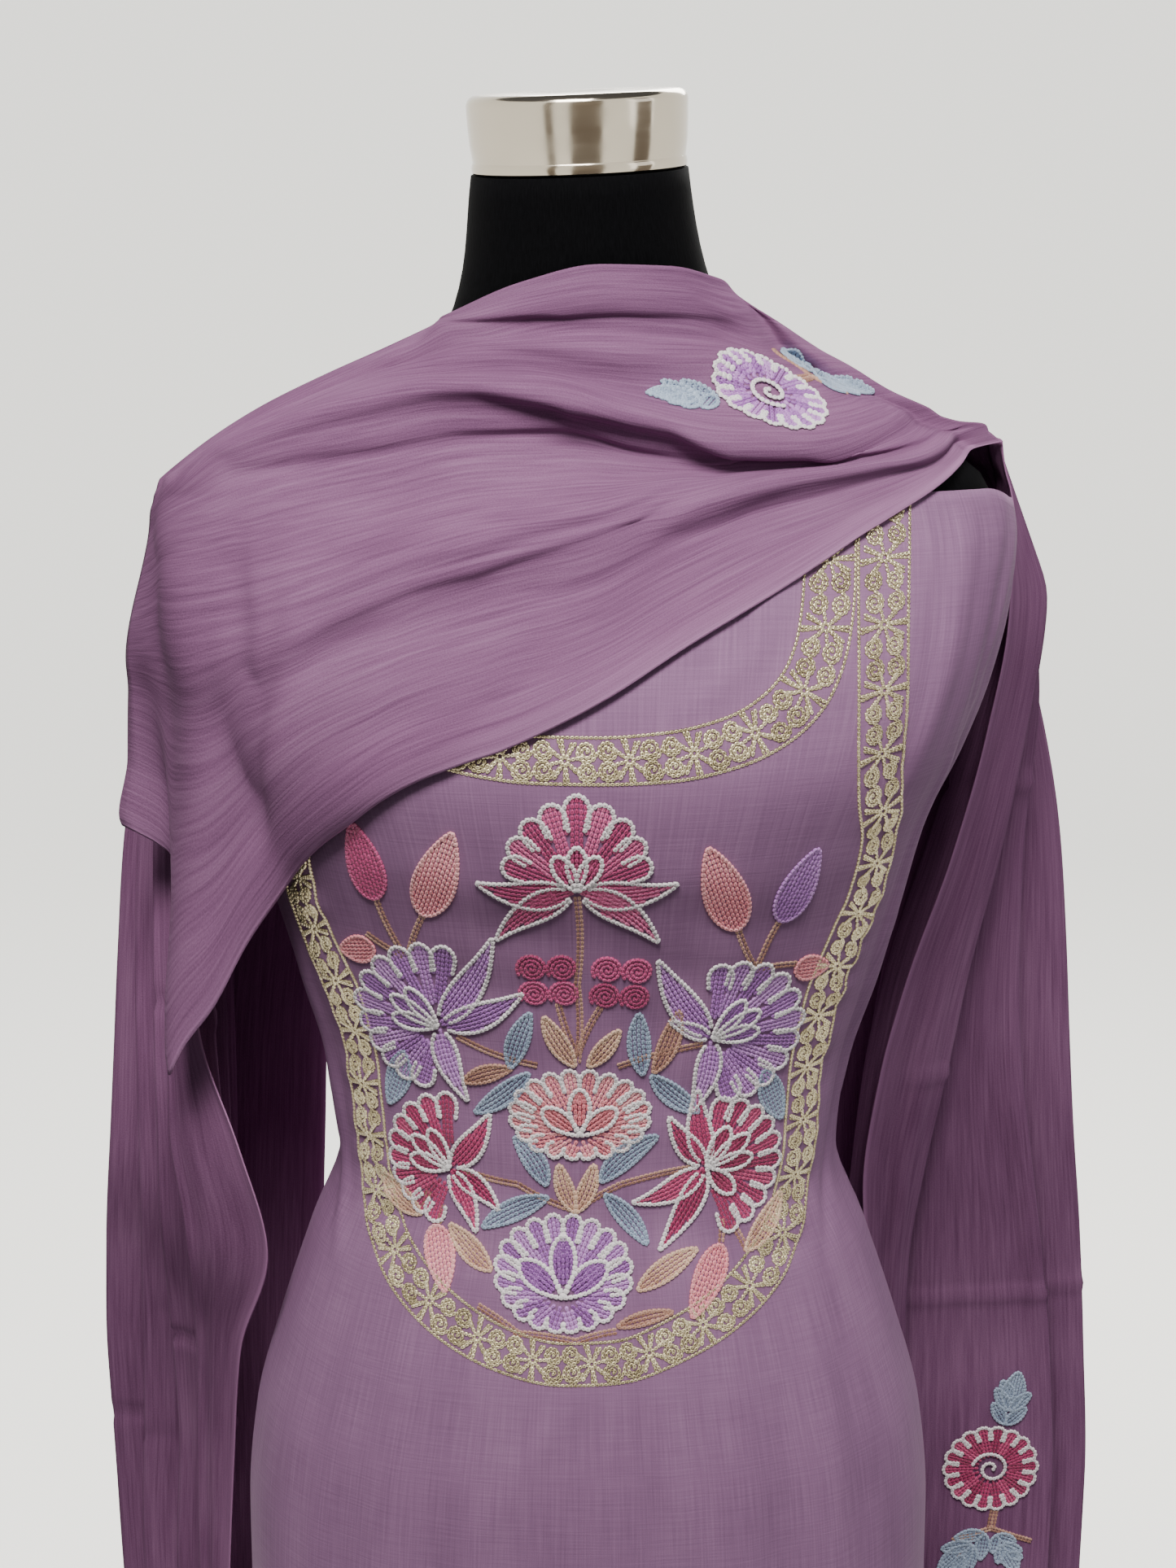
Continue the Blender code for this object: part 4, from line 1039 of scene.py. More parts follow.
LEFT_FALL = np.array([
    (0.620, 0.030, 0.150, -0.213, -0.228, -0.216, -0.246, -0.218, -0.272, -0.220, -0.290, -0.175),
    (0.750, 0.020, 0.148, -0.205, -0.224, -0.212, -0.243, -0.214, -0.270, -0.216, -0.292, -0.170),
    (0.850, 0.006, 0.142, -0.196, -0.219, -0.206, -0.236, -0.210, -0.263, -0.211, -0.292, -0.165),
    (0.930, -0.015, 0.134, -0.186, -0.213, -0.198, -0.235, -0.204, -0.258, -0.206, -0.287, -0.160),
    (1.000, -0.042, 0.120, -0.165, -0.211, -0.190, -0.233, -0.196, -0.252, -0.200, -0.278, -0.155),
    (1.060, -0.048, 0.118, -0.177, -0.216, -0.192, -0.231, -0.195, -0.250, -0.198, -0.272, -0.152),
    (1.120, -0.036, 0.118, -0.197, -0.216, -0.196, -0.231, -0.196, -0.249, -0.198, -0.267, -0.145),
    (1.190, -0.012, 0.118, -0.203, -0.215, -0.199, -0.231, -0.199, -0.246, -0.200, -0.260, -0.135),
    (1.260, 0.008, 0.114, -0.208, -0.214, -0.203, -0.224, -0.203, -0.232, -0.202, -0.240, -0.125),
    (1.320, 0.014, 0.110, -0.213, -0.216, -0.210, -0.217, -0.207, -0.217, -0.200, -0.205, -0.118),
])


print("turns across the falls:", RIGHT_FALL.shape[1] - 3, "and", LEFT_FALL.shape[1] - 3)


# %% The zigzag and the way up to the shoulder
FALL_CLEARANCE = 0.0024


def zigzag(turns, share):
    place = np.clip(share, 0, 1) * (len(turns) - 1)
    i = np.minimum(place.astype(int), len(turns) - 2)
    f = (1 - np.cos(math.pi * (place - i))) / 2
    turns = np.array(turns)
    return turns[i] * (1 - f) + turns[i + 1] * f


def beside_body(y, height):
    half, front, back = [v + FALL_CLEARANCE for v in cover_section(height)]
    depth = np.where(y < 0, front, back)
    left_over = np.maximum(1 - (np.abs(y) / depth) ** ROUNDNESS, 0.0)
    return half * left_over ** (1 / ROUNDNESS)


def fall_rows(table, heights, share, side, crest, steps):
    rows = []
    for height in heights:
        front, back, *turns = read_table(table, height)
        y = front + (back - front) * share
        x = np.maximum(side * zigzag(turns, share), beside_body(y, height))
        rows.append(np.stack([side * x, y, np.full(len(x), height)], axis=1))
    top = rows[-1]
    for step in np.linspace(0, 1, steps + 2)[1:-1]:
        rows.append(keep_clear(top * (1 - step) + crest * step, FALL_CLEARANCE))
    rows.append(crest)
    return np.array(rows)


# %% Creases and drops
# Creases from having lain folded: share across and share up along each, then reach and height
RIGHT_CREASES = (
    (((0.17, 0.768), (0.42, 0.765), (0.68, 0.760)), (0.010, 0.005), 0.0022),
    (((0.33, 0.352), (0.55, 0.350), (0.92, 0.345)), (0.010, 0.005), 0.0022),
    (((0.05, 0.560), (0.16, 0.556), (0.30, 0.552)), (0.008, 0.006), 0.0016),
)
LEFT_CREASES = (
    (((0.20, 0.386), (0.36, 0.380), (0.60, 0.376)), (0.010, 0.005), 0.0022),
    (((0.55, 0.262), (0.80, 0.258), (0.95, 0.250)), (0.008, 0.005), 0.0020),
    (((0.10, 0.640), (0.30, 0.650), (0.52, 0.662)), (0.012, 0.006), 0.0020),
)
# Soft folds down the falls: share up first, then share across
RIGHT_DROPS = (
    (((0.10, 0.400), (0.45, 0.410), (0.80, 0.425)), (0.018, 0.018), 0.0020),
    (((0.05, 0.470), (0.30, 0.462), (0.62, 0.455)), (0.012, 0.012), -0.0014),
    (((0.20, 0.110), (0.50, 0.100), (0.78, 0.090)), (0.030, 0.030), 0.0022),
    (((0.08, 0.700), (0.38, 0.720), (0.70, 0.735)), (0.018, 0.016), 0.0018),
    (((0.12, 0.880), (0.42, 0.900), (0.74, 0.910)), (0.020, 0.020), 0.0020),
)
LEFT_DROPS = (
    (((0.10, 0.080), (0.45, 0.095), (0.80, 0.110)), (0.024, 0.026), 0.0024),
    (((0.06, 0.330), (0.40, 0.342), (0.76, 0.350)), (0.020, 0.018), 0.0020),
    (((0.10, 0.580), (0.44, 0.590), (0.80, 0.600)), (0.018, 0.018), 0.0018),
    (((0.08, 0.900), (0.40, 0.915), (0.78, 0.930)), (0.022, 0.020), 0.0022),
)


def pressed(rows, across_folds, drops):
    up, over = np.meshgrid(np.linspace(0, 1, rows.shape[0]), np.linspace(0, 1, rows.shape[1]),
                           indexing="ij")
    relief = sum(crease(over, up, *fold) for fold in across_folds)
    relief = relief + sum(crease(up, over, *fold) for fold in drops)
    return add_relief(rows, relief)


# %% Fold and hang them
FALL_FOOT, FALL_ROWS, CREST_ROWS = 0.620, 128, 12
# The left fall's crest runs along the upper edge of the chest stretch, between these two shares
LEFT_CREST_START, LEFT_CREST_END = 0.985, 0.52
behind = np.array([0.0, DUPATTA_WALL + CLOTH_GAP, 0.0])


def hang(table, top, share, side, crest, across_folds, drops):
    """A fall from its foot up to the top of its table, and from there to its crest."""
    heights = np.linspace(FALL_FOOT, top, FALL_ROWS)
    rows = fall_rows(table, heights, share, side, crest + behind, CREST_ROWS)
    return rest_on_body(pressed(soften(rows, 2), across_folds, drops), FALL_CLEARANCE)


right_share = np.linspace(0, 1, 169)
right_crest = chest_points(0.0, 1 - right_share)
right_rows = hang(RIGHT_FALL, 1.335, right_share, 1, right_crest, RIGHT_CREASES, RIGHT_DROPS)
left_share = np.linspace(0, 1, 151)
left_along = LEFT_CREST_START + (LEFT_CREST_END - LEFT_CREST_START) * left_share
left_crest = np.concatenate([chest_points(a, np.array([0.0])) for a in left_along])
left_rows = hang(LEFT_FALL, 1.310, left_share, -1, left_crest, LEFT_CREASES, LEFT_DROPS)
# The falls wear the darker crepe, whose colour is painted shade
for name, node, rows, flat in (
        ("dupatta_fall_right_cloth", "dupatta_fall_right", right_rows, (0.42, 0.88)),
        ("dupatta_fall_left_cloth", "dupatta_fall_left", left_rows, (0.32, 0.88))):
    piece = cloth_sheet(name, rows, CREPE_SHELL, shaded_fall_crepe, selvedge=(True, True))
    stand_for(piece, node)

# %% [markdown]
# ## Chain stitch
#
# The yoke is worked in chain stitch. Every stitch is a small loop of thread that holds the next,
# so a row of them looks like a fine plait, and a petal is filled by rows laid side by side. One
# loop is modelled with twelve faces and set down thousands of times: its place comes from the
# pattern, measured in metres over the cloth, and its lie from the cloth's own surface.

# %% Where a point of the pattern lies on the cloth
class Ground:
    """A sheet's grid of points, with a measure across (u) and up (v) at each of them."""

    def __init__(self, rows, across, up):
        self.rows, self.across, self.up = rows, across, up
        self.over = np.gradient(rows, axis=1)
        self.along = np.gradient(rows, axis=0)
        self.normal = facing(rows)

    def at(self, places):
        """The point at each place, and the directions across, up and out of the cloth there."""
        row = np.interp(places[:, 1], self.up, np.arange(len(self.up)))
        row = np.clip(row, 0, len(self.up) - 1.001)
        low = row.astype(int)
        part = (row - low)[:, None]
        columns = np.arange(self.across.shape[1])
        column = np.empty(len(places))
        for i, (r, p, u) in enumerate(zip(low, part[:, 0], places[:, 0])):
            column[i] = np.interp(u, self.across[r] * (1 - p) + self.across[r + 1] * p, columns)
        column = np.clip(column, 0, len(columns) - 1.001)
        left = column.astype(int)
        side = (column - left)[:, None]

        def mixed(grid):
            lower = grid[low, left] * (1 - side) + grid[low, left + 1] * side
            upper = grid[low + 1, left] * (1 - side) + grid[low + 1, left + 1] * side
            return lower * (1 - part) + upper * part

        def unit(vectors):
            return vectors / np.maximum(np.linalg.norm(vectors, axis=1, keepdims=True), 1e-9)

        normal = unit(mixed(self.normal))
        over = unit(mixed(self.over))
        over = unit(over - normal * (over * normal).sum(axis=1, keepdims=True))
        return mixed(self.rows), over, np.cross(normal, over), normal


# %% A bag of stitches for each colour of thread
LOOP_STEPS = 6
# Each loop reaches a little into the next, and its dye differs a little from its neighbour's
LOOP_OVERLAP, TONE_SPREAD = 1.32, 0.05
rng = np.random.default_rng(7)


def distance_along(path):
    return np.concatenate([[0.0], np.cumsum(np.linalg.norm(np.diff(path, axis=0), axis=1))])


class Stitches:
    """Stitches wait here, by thread, until they are set down together as one mesh."""

    def __init__(self):
        self.held = {}

    def row(self, thread, path, pitch, width, shade, lift):
        """A row of chain along a path over the pattern."""
        path = np.asarray(path, float)
        run = distance_along(path)
        count = max(int(round(run[-1] / pitch)), 1)
        ends = np.linspace(0, run[-1], count + 1)
        points = np.stack([np.interp(ends, run, path[:, k]) for k in (0, 1)], axis=1)
        middle = (points[1:] + points[:-1]) / 2
        step = points[1:] - points[:-1]
        heading = np.arctan2(step[:, 1], step[:, 0])
        long = np.linalg.norm(step, axis=1) * LOOP_OVERLAP
        share = np.linspace(0, 1, count)
        tone = shade(share) if callable(shade) else np.full(count, float(shade))
        tone = tone + rng.normal(0, TONE_SPREAD, count)
        high = np.full(count, lift)
        data = np.column_stack([middle, heading, long, np.full(count, width), tone, high])
        self.held.setdefault(thread, []).append(data)

    def set_down(self, name, thread, ground, material, thickness, base):
        """Makes one mesh of all the stitches of a thread, base metres above the cloth's middle."""
        data = np.concatenate(self.held[thread])
        place, over, up, normal = ground.at(data[:, :2])
        turn = data[:, 2:3]
        ahead = over * np.cos(turn) + up * np.sin(turn)
        aside = np.cross(normal, ahead)
        angle = np.linspace(0, 2 * math.pi, LOOP_STEPS, endpoint=False)
        taper = 1 - 0.25 * np.cos(angle)
        rings = []
        for grow, high in ((0.55, 0.0), (-0.08, 1.0)):
            long = data[:, 3:4] / 2 - thickness / 2 + grow * thickness
            wide = np.maximum(data[:, 4:5] / 2 - thickness / 2 + grow * thickness, 0.00005)
            lift = (base + data[:, 6] + high * thickness)[:, None, None]
            rings.append(place[:, None] + ahead[:, None] * (np.cos(angle) * long)[..., None]
                         + aside[:, None] * (np.sin(angle) * taper * wide)[..., None]
                         + normal[:, None] * lift)
        # The middle of the loop is a pit, where the two sides of the thread meet
        pit = place + normal * (base + data[:, 6] + 0.12 * thickness)[:, None]
        points = np.concatenate([*rings, pit[:, None]], axis=1)
        count, each = points.shape[:2]
        k = np.arange(LOOP_STEPS)
        n = (k + 1) % LOOP_STEPS
        start = (np.arange(count) * each)[:, None, None]
        outside = np.stack([k, n, n + LOOP_STEPS, k + LOOP_STEPS], axis=1)[None] + start
        middle = np.full(LOOP_STEPS, 2 * LOOP_STEPS)
        inside = np.stack([k + LOOP_STEPS, n + LOOP_STEPS, middle], axis=1)[None] + start
        faces = outside.reshape(-1, 4).tolist() + inside.reshape(-1, 3).tolist()
        mesh = bpy.data.meshes.new(name)
        mesh.from_pydata(points.reshape(-1, 3).tolist(), [], faces)
        # Painted shade: each loop is darkened at its foot and in its middle pit, where shade falls
        # between the threads, and lightened on its crown
        depth = np.array([-0.42] * LOOP_STEPS + [0.12] * LOOP_STEPS + [-0.62])
        tone = mesh.attributes.new("shade", "FLOAT", "POINT")
        tone.data.foreach_set("value", (data[:, 5:6] + depth).reshape(-1).astype(np.float32))
        mesh.shade_smooth()
        piece = add_piece(name, mesh, material)
        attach(piece, "root")
        print(name, "stitches:", count, "triangles:", count * LOOP_STEPS * 3)


print("one loop has", 2 * LOOP_STEPS, "faces")

# %% [markdown]
# ## Shapes to fill
#
# Petals, buds and leaves are all the same thing in different proportions: a middle line from base
# to tip, bent to one side, and a width that swells and closes along it. The rows of chain run with
# the middle line, and an outline of white chain goes round the edge.

# %% Petal and leaf shapes
FILL_ROW, FILL_PITCH = 0.0020, 0.0026
EDGE_PITCH, EDGE_WIDTH = 0.0024, 0.0025
SHAPE_STEPS = 40
# Skew and fullness of the width from base to tip; a round petal is drawn by its own rule
FORMS = {"bud": (0.72, 0.75), "loop": (1.35, 0.62), "leaf": (0.92, 0.80), "point": (0.80, 0.85)}


def bent_line(base, tip, bend, count=24):
    base, tip = np.array(base, float), np.array(tip, float)
    reach = tip - base
    aside = np.array([-reach[1], reach[0]])
    knee = (base + tip) / 2 + aside * bend
    t = np.linspace(0, 1, count)[:, None]
    return base * (1 - t) ** 2 + 2 * knee * t * (1 - t) + tip * t * t


def left_of(line):
    """The direction square to a line, at each of its points."""
    run = np.gradient(line, axis=0)
    run /= np.linalg.norm(run, axis=1, keepdims=True)
    return np.stack([-run[:, 1], run[:, 0]], axis=1)


def width_along(kind, t):
    """How wide a shape is from base (0) to tip (1), as a share of its full width."""
    if kind == "round":
        closing = np.sqrt(np.clip(1 - (np.maximum(t - 0.80, 0) / 0.2) ** 2, 0, 1))
        return (0.30 + 0.70 * np.minimum(t / 0.80, 1)) * closing
    skew, fullness = FORMS[kind]
    wide = np.sin(math.pi * np.clip(t, 0, 1) ** skew) ** fullness
    return wide * (0.55 + 0.45 * (1 - t)) if kind == "point" else wide


# %% Fill a shape and edge it
class Shape:
    def __init__(self, base, tip, width, kind, bend=0.0):
        self.line = bent_line(base, tip, bend, SHAPE_STEPS)
        self.aside = left_of(self.line)
        self.t = np.linspace(0, 1, SHAPE_STEPS)
        self.half = width_along(kind, self.t) * width / 2

    def fill(self, bag, thread, shade, start=0.0, margin=0.0008, lift=0.0):
        count = int(max(self.half) / FILL_ROW)
        for k in range(-count, count + 1):
            off = k * FILL_ROW
            inside = (self.half - margin >= abs(off)) & (self.t >= start)
            if k == 0:
                inside = (self.t >= start) & (self.t <= 0.985)
            if inside.sum() < 3:
                continue
            first, last = np.flatnonzero(inside)[[0, -1]]
            path = self.line[first:last + 1] + self.aside[first:last + 1] * off
            bag.row(thread, path, FILL_PITCH, FILL_ROW * 1.06, shade, lift)

    def edge(self, bag, thread, shade, start=0.0, lift=0.0005, width=EDGE_WIDTH):
        keep = self.t >= start
        one = (self.line + self.aside * self.half[:, None])[keep]
        other = (self.line - self.aside * self.half[:, None])[keep][::-1]
        bag.row(thread, np.concatenate([one, other]), EDGE_PITCH, width, shade, lift)


def ray(origin, degrees, length):
    return (origin[0] + length * math.cos(math.radians(degrees)),
            origin[1] + length * math.sin(math.radians(degrees)))


def ombre(dark, light):
    """A thread that goes from dark at the base to light at the tip."""
    return lambda share: dark + (light - dark) * share


print("rows across a 16 mm petal:", 2 * int(0.008 / FILL_ROW) + 1)

# %% [markdown]
# ## Flowers, buds, berries and leaves
#
# The bouquet is a common one in this craft: a lotus at the top, daisies on either side, buds on
# thin stems and long leaves between them, laid out in mirror image about a middle stem. The
# flowers are drawn by rule: how many petals, over what angles and how long. White chain runs round
# the petals' tips, and three small loops stand for the stamens.

# %% Flower and leaf stitching
def petals(bag, thread, throat, rounded, pointed, loops, tones):
    """Rounded petals are (angle, length, width); pointed ones and loops add a bend."""
    for i, (angle, length, width) in enumerate(rounded):
        shape = Shape(ray(throat, angle, length * 0.10), ray(throat, angle, length), width, "round")
        tone = tones[i % len(tones)]
        shape.fill(bag, thread, ombre(tone, tone + 0.12), start=0.16)
        shape.edge(bag, "white", 0.6, start=0.60)
    for i, (angle, length, width, bend) in enumerate(pointed):
        foot, tip = ray(throat, angle, length * 0.04), ray(throat, angle, length)
        shape = Shape(foot, tip, width, "point", bend)
        tone = tones[(i + 1) % len(tones)]
        shape.fill(bag, thread, ombre(tone - 0.05, tone + 0.15), lift=0.0001)
        shape.edge(bag, "white", 0.6, start=0.05)
    for angle, length, width in loops:
        shape = Shape(throat, ray(throat, angle, length), width, "loop")
        shape.fill(bag, thread, tones[0], start=0.2, lift=0.0006)
        shape.edge(bag, "white", 0.7, lift=0.0011)


def fan(first, last, count, lengths_at, width):
    """Rounded petals spread evenly from one angle to another."""
    turns = np.linspace(first, last, count)
    keys = np.linspace(first, last, len(lengths_at))
    return [(a, float(np.interp(a, keys, lengths_at)), width) for a in turns]


def daisy(bag, thread, centre, size, count, throat, tones):
    """Petals all round: their tips stand on an oval, their feet meet at the throat."""
    rounded = []
    for k in range(count):
        a = 2 * math.pi * (k + 0.5) / count
        tip = np.array([centre[0] + size[0] * math.cos(a), centre[1] + size[1] * math.sin(a)])
        reach = tip - np.array(throat)
        angle = math.degrees(math.atan2(reach[1], reach[0]))
        near = size[0] * size[1] / (size[0] + size[1]) * 4 * math.pi / count
        rounded.append((angle, float(np.linalg.norm(reach)), near * 0.98))
    loops = [(90 + off, size[1] * long, size[1] * 0.42)
             for off, long in ((-52, 0.95), (0, 1.05), (52, 0.95))]
    petals(bag, thread, throat, rounded, (), loops, tones)


# %% Buds, berries and stems
COIL_PITCH, COIL_WIDTH = 0.0023, 0.0021
STEM_ROW, STEM_PITCH, STEM_WIDTH, STEM_LIFT = 0.0019, 0.0024, 0.0021, -0.00025


def bud(bag, thread, base, tip, width, tones, kind="bud", bend=0.0):
    shape = Shape(base, tip, width, kind, bend)
    shape.fill(bag, thread, ombre(*tones), margin=0.0)
    shape.edge(bag, thread, tones[1], lift=0.0003, width=0.0022)


def berry(bag, thread, centre, radius, tone):
    turns = radius / FILL_ROW
    a = np.linspace(0.6, 2 * math.pi * turns, int(26 * turns))
    r = radius * a / a[-1]
    path = np.stack([centre[0] + r * np.cos(a), centre[1] + r * np.sin(a)], axis=1)
    bag.row(thread, path, COIL_PITCH, COIL_WIDTH, tone, 0.0001)


def stem(bag, points, rows=2, tones=(0.3, 0.7), bend=0.0):
    for start, end in zip(points, points[1:]):
        line = bent_line(start, end, bend)
        aside = left_of(line)
        for k in range(rows):
            off = (k - (rows - 1) / 2) * STEM_ROW
            tone = tones[k % len(tones)]
            bag.row("stem", line + aside * off, STEM_PITCH, STEM_WIDTH, tone, STEM_LIFT)


def in_mm(point):
    """A point that the tables below give in millimetres."""
    return (point[0] / 1000, point[1] / 1000)


print("turns of thread in a 7 mm berry:", round(0.0072 / FILL_ROW, 1))


# %% [markdown]
# ## The bouquet on the yoke
#
# Places are millimetres over the cloth: the first number across from the middle of the panel, the
# second the height. The two sides match but are not exact copies, as in hand work.

# %% Flowers of the bouquet
yoke = Stitches()
TONES = {"magenta": (0.35, 0.62, 0.28, 0.72), "violet": (0.30, 0.62, 0.42, 0.75),
         "salmon": (0.35, 0.70, 0.50, 0.62), "maroon": (0.28, 0.50, 0.34, 0.66)}


def scaled(entries):
    return [tuple(v / 1000 if 0 < i < 3 else v for i, v in enumerate(entry)) for entry in entries]


def flower(thread, throat, rounded, pointed, loops):
    petals(yoke, thread, in_mm(throat), rounded, scaled(pointed), scaled(loops), TONES[thread])


flower("magenta", (-5, 1219), fan(22, 158, 9, (0.036, 0.041, 0.046, 0.041, 0.036), 0.0118),
       ((4, 46, 17, -0.20), (176, 46, 17, 0.20), (-37, 47, 17, 0.16), (217, 47, 17, -0.16)),
       ((90, 22, 9), (60, 20, 9), (120, 20, 9)))
flower("violet", (-72, 1142), fan(84, 252, 11, (0.045, 0.046, 0.047, 0.040, 0.036), 0.0120),
       ((61, 58, 18, -0.10), (27, 47, 17, -0.14), (-70, 42, 15, -0.12)),
       ((128, 25, 9), (150, 28, 9), (174, 24, 9)))
flower("violet", (59, 1137), fan(-72, 84, 11, (0.037, 0.044, 0.050, 0.048, 0.040), 0.0120),
       ((121, 52, 18, 0.10), (153, 24, 9, 0.0), (256, 41, 15, 0.14)),
       ((4, 24, 9), (27, 27, 9), (50, 25, 9)))
daisy(yoke, "salmon", in_mm((-4, 1099)), (0.034, 0.0235), 20, in_mm((-4, 1088)), TONES["salmon"])
flower("maroon", (-68, 1066), fan(92, 250, 10, (0.040, 0.038, 0.036, 0.033, 0.031), 0.0108),
       ((57, 38, 15, -0.12), (-38, 32, 13, 0.12), (-68, 35, 13, 0.08)),
       ((118, 22, 9), (146, 25, 9), (175, 22, 9)))
flower("maroon", (58, 1068), fan(-68, 76, 10, (0.038, 0.040, 0.042, 0.040, 0.037), 0.0108),
       ((97, 43, 15, 0.08), (124, 35, 13, 0.10), (203, 40, 15, 0.16), (240, 47, 15, 0.08)),
       ((6, 24, 9), (34, 26, 9), (62, 23, 9), (-48, 21, 9)))
daisy(yoke, "violet", in_mm((-12, 1018)), (0.0335, 0.0285), 20, in_mm((-12, 1006)), TONES["violet"])
print("rows after the flowers:", {k: len(v) for k, v in yoke.held.items()})

# %% Buds and berries of the bouquet
BUDS = (
    ("magenta", (-101, 1208), (-111, 1247), 19, (0.30, 0.55)),
    ("salmon", (-77, 1202), (-61, 1246), 20, (0.60, 0.85)),
    ("salmon", (70, 1195), (54, 1239), 20, (0.50, 0.72)),
    ("violet", (91, 1197), (109, 1234), 18, (0.40, 0.70)),
    ("salmon", (-104, 1180), (-125, 1176), 14, (0.45, 0.60)),
    ("salmon", (101, 1169), (121, 1168), 13, (0.45, 0.60)),
    ("salmon", (-76, 1035), (-71, 1004), 15, (0.62, 0.78)),
    ("salmon", (66, 1027), (51, 994), 15, (0.45, 0.62)),
)
BERRIES = ((-26, 1177), (-12, 1177), (-25, 1163), (-11, 1163), (9, 1176), (23, 1175), (8, 1162),
           (22, 1161))
BERRY_RADIUS = 0.0072
for thread, base, tip, width, tones in BUDS:
    bud(yoke, thread, in_mm(base), in_mm(tip), width / 1000, tones)
for centre in BERRIES:
    berry(yoke, "magenta", in_mm(centre), BERRY_RADIUS, 0.30 + 0.25 * (centre[0] % 2))
print("buds and berries:", len(BUDS), len(BERRIES))

# %% Leaves and stems of the bouquet
LEAVES = (
    ("blue", (-37, 1122), (-27, 1153), 10, 0.06), ("blue", (-28, 1120), (-55, 1097), 10, 0.08),
    ("blue", (26, 1119), (24, 1153), 10, 0.06), ("blue", (30, 1119), (54, 1097), 10, -0.08),
    ("blue", (-91, 1126), (-102, 1094), 13, 0.06), ("blue", (87, 1116), (100, 1086), 13, -0.06),
    ("blue", (-20, 1061), (-36, 1086), 10, -0.14), ("blue", (6, 1063), (34, 1087), 11, 0.14),
    ("blue", (-19, 1055), (-52, 1037), 10, -0.08), ("blue", (8, 1057), (29, 1030), 9, 0.06),
    ("tan", (-6, 1124), (-21, 1151), 9, 0.06), ("tan", (0, 1124), (15, 1144), 8, -0.04),
    ("stem", (31, 1120), (43, 1154), 9, -0.10), ("stem", (-60, 1113), (-36, 1122), 8, 0.10),
    ("tan", (-84, 1039), (-111, 1055), 12, 0.10), ("tan", (-47, 1017), (-69, 1037), 11, 0.06),
    ("tan", (24, 1009), (54, 1027), 10, 0.05), ("tan", (79, 1022), (101, 1047), 11, -0.10),
    ("tan", (-6, 1047), (-14, 1073), 8, 0.10), ("tan", (-6, 1047), (3, 1073), 8, -0.10),
    ("stem", (14, 992), (42, 998), 6, 0.05),
)
for thread, base, tip, width, bend in LEAVES:
    bud(yoke, thread, in_mm(base), in_mm(tip), width / 1000, (0.35, 0.70), "leaf", bend)
STEMS = (
    ((-5, 1216), (-5, 1168), (-5, 1126)), ((-5, 1130), (-14, 1158)), ((-5, 1130), (6, 1156)),
    ((-24, 1124), (-63, 1137)), ((14, 1124), (55, 1134)), ((-6, 1048), (-34, 1061), (-62, 1066)),
    ((-6, 1048), (16, 1062), (50, 1068)), ((-88, 1178), (-101, 1209)), ((-86, 1178), (-77, 1202)),
    ((-88, 1178), (-108, 1188)), ((80, 1172), (70, 1195)), ((80, 1172), (91, 1197)),
    ((80, 1172), (102, 1172)), ((-72, 1046), (-75, 1036)), ((66, 1040), (66, 1028)),
    ((72, 1036), (80, 1022)), ((-54, 1000), (-34, 988), (-6, 985), (14, 990)),
    ((-80, 1052), (-84, 1040)),
)
for points in STEMS:
    stem(yoke, [in_mm(p) for p in points], bend=0.06)
print("rows worked:", {k: len(v) for k, v in yoke.held.items()})

# %% [markdown]
# ## The gold border
#
# A band of gold thread edges the yoke, and a second one follows the curve of a neckline that has
# not been cut yet. Between two fine edge chains, clover blossoms of four curled lobes take turns
# with small stars.

# %% The course of the two bands
# The middle of each band: across, height and half width, in millimetres, from right to left
YOKE_BAND = np.array([
    (139, 1386, 13.0), (138, 1340, 13.0), (139, 1292, 13.5), (142, 1258, 13.5), (148, 1234, 13.0),
    (145, 1208, 13.5), (133, 1180, 13.0), (121, 1150, 12.5), (115, 1112, 12.0), (114, 1074, 12.0),
    (108, 1042, 12.0), (93, 1017, 12.0), (70, 998, 11.5), (42, 984, 10.5), (14, 975, 10.0),
    (-14, 974, 10.0), (-42, 980, 10.5), (-72, 994, 11.5), (-96, 1014, 12.0), (-112, 1040, 12.0),
    (-118, 1074, 12.0), (-120, 1112, 12.0), (-127, 1150, 12.5), (-142, 1178, 12.5),
    (-151, 1206, 12.0), (-152, 1234, 12.0), (-146, 1260, 12.5), (-142, 1300, 13.0),
    (-142, 1340, 13.0), (-143, 1386, 13.0),
]) / 1000
NECK_BAND = np.array([
    (112, 1386, 12.5), (111, 1352, 12.5), (108, 1330, 12.5), (101, 1312, 12.5), (88, 1298, 12.0),
    (66, 1287, 11.0), (36, 1281, 10.5), (6, 1279.5, 10.0), (-24, 1280, 10.0), (-54, 1284, 10.5),
    (-80, 1293, 11.5), (-99, 1307, 12.5), (-109, 1326, 12.5), (-114, 1352, 12.5),
    (-115, 1386, 12.5),
]) / 1000


class Band:
    """A border's middle line and half width, measured in metres along it."""

    def __init__(self, table):
        run = distance_along(table[:, :2])
        self.s = np.linspace(0, run[-1], 400)
        keys = [through(run, table[:, k], self.s) for k in range(3)]
        self.line = np.stack(keys[:2], axis=1)
        for _ in range(6):
            self.line[1:-1] = (self.line[:-2] + 2 * self.line[1:-1] + self.line[2:]) / 4
        self.half = keys[2]
        self.aside = left_of(self.line)
        self.length = run[-1]

    def place(self, s, across):
        """A point at a length s along the band; across runs from -1 to 1."""
        at = [np.interp(s, self.s, v) for v in (self.line[:, 0], self.line[:, 1],
                                                 self.aside[:, 0], self.aside[:, 1], self.half)]
        off = across * at[4]
        return np.stack([at[0] + at[2] * off, at[1] + at[3] * off], axis=-1)


print("band lengths:", [round(float(Band(table).length), 3) for table in (YOKE_BAND, NECK_BAND)])


# %% Fill the bands with blossoms and stars
# One blossom and one star take this much of a band
BAND_REPEAT = 0.029
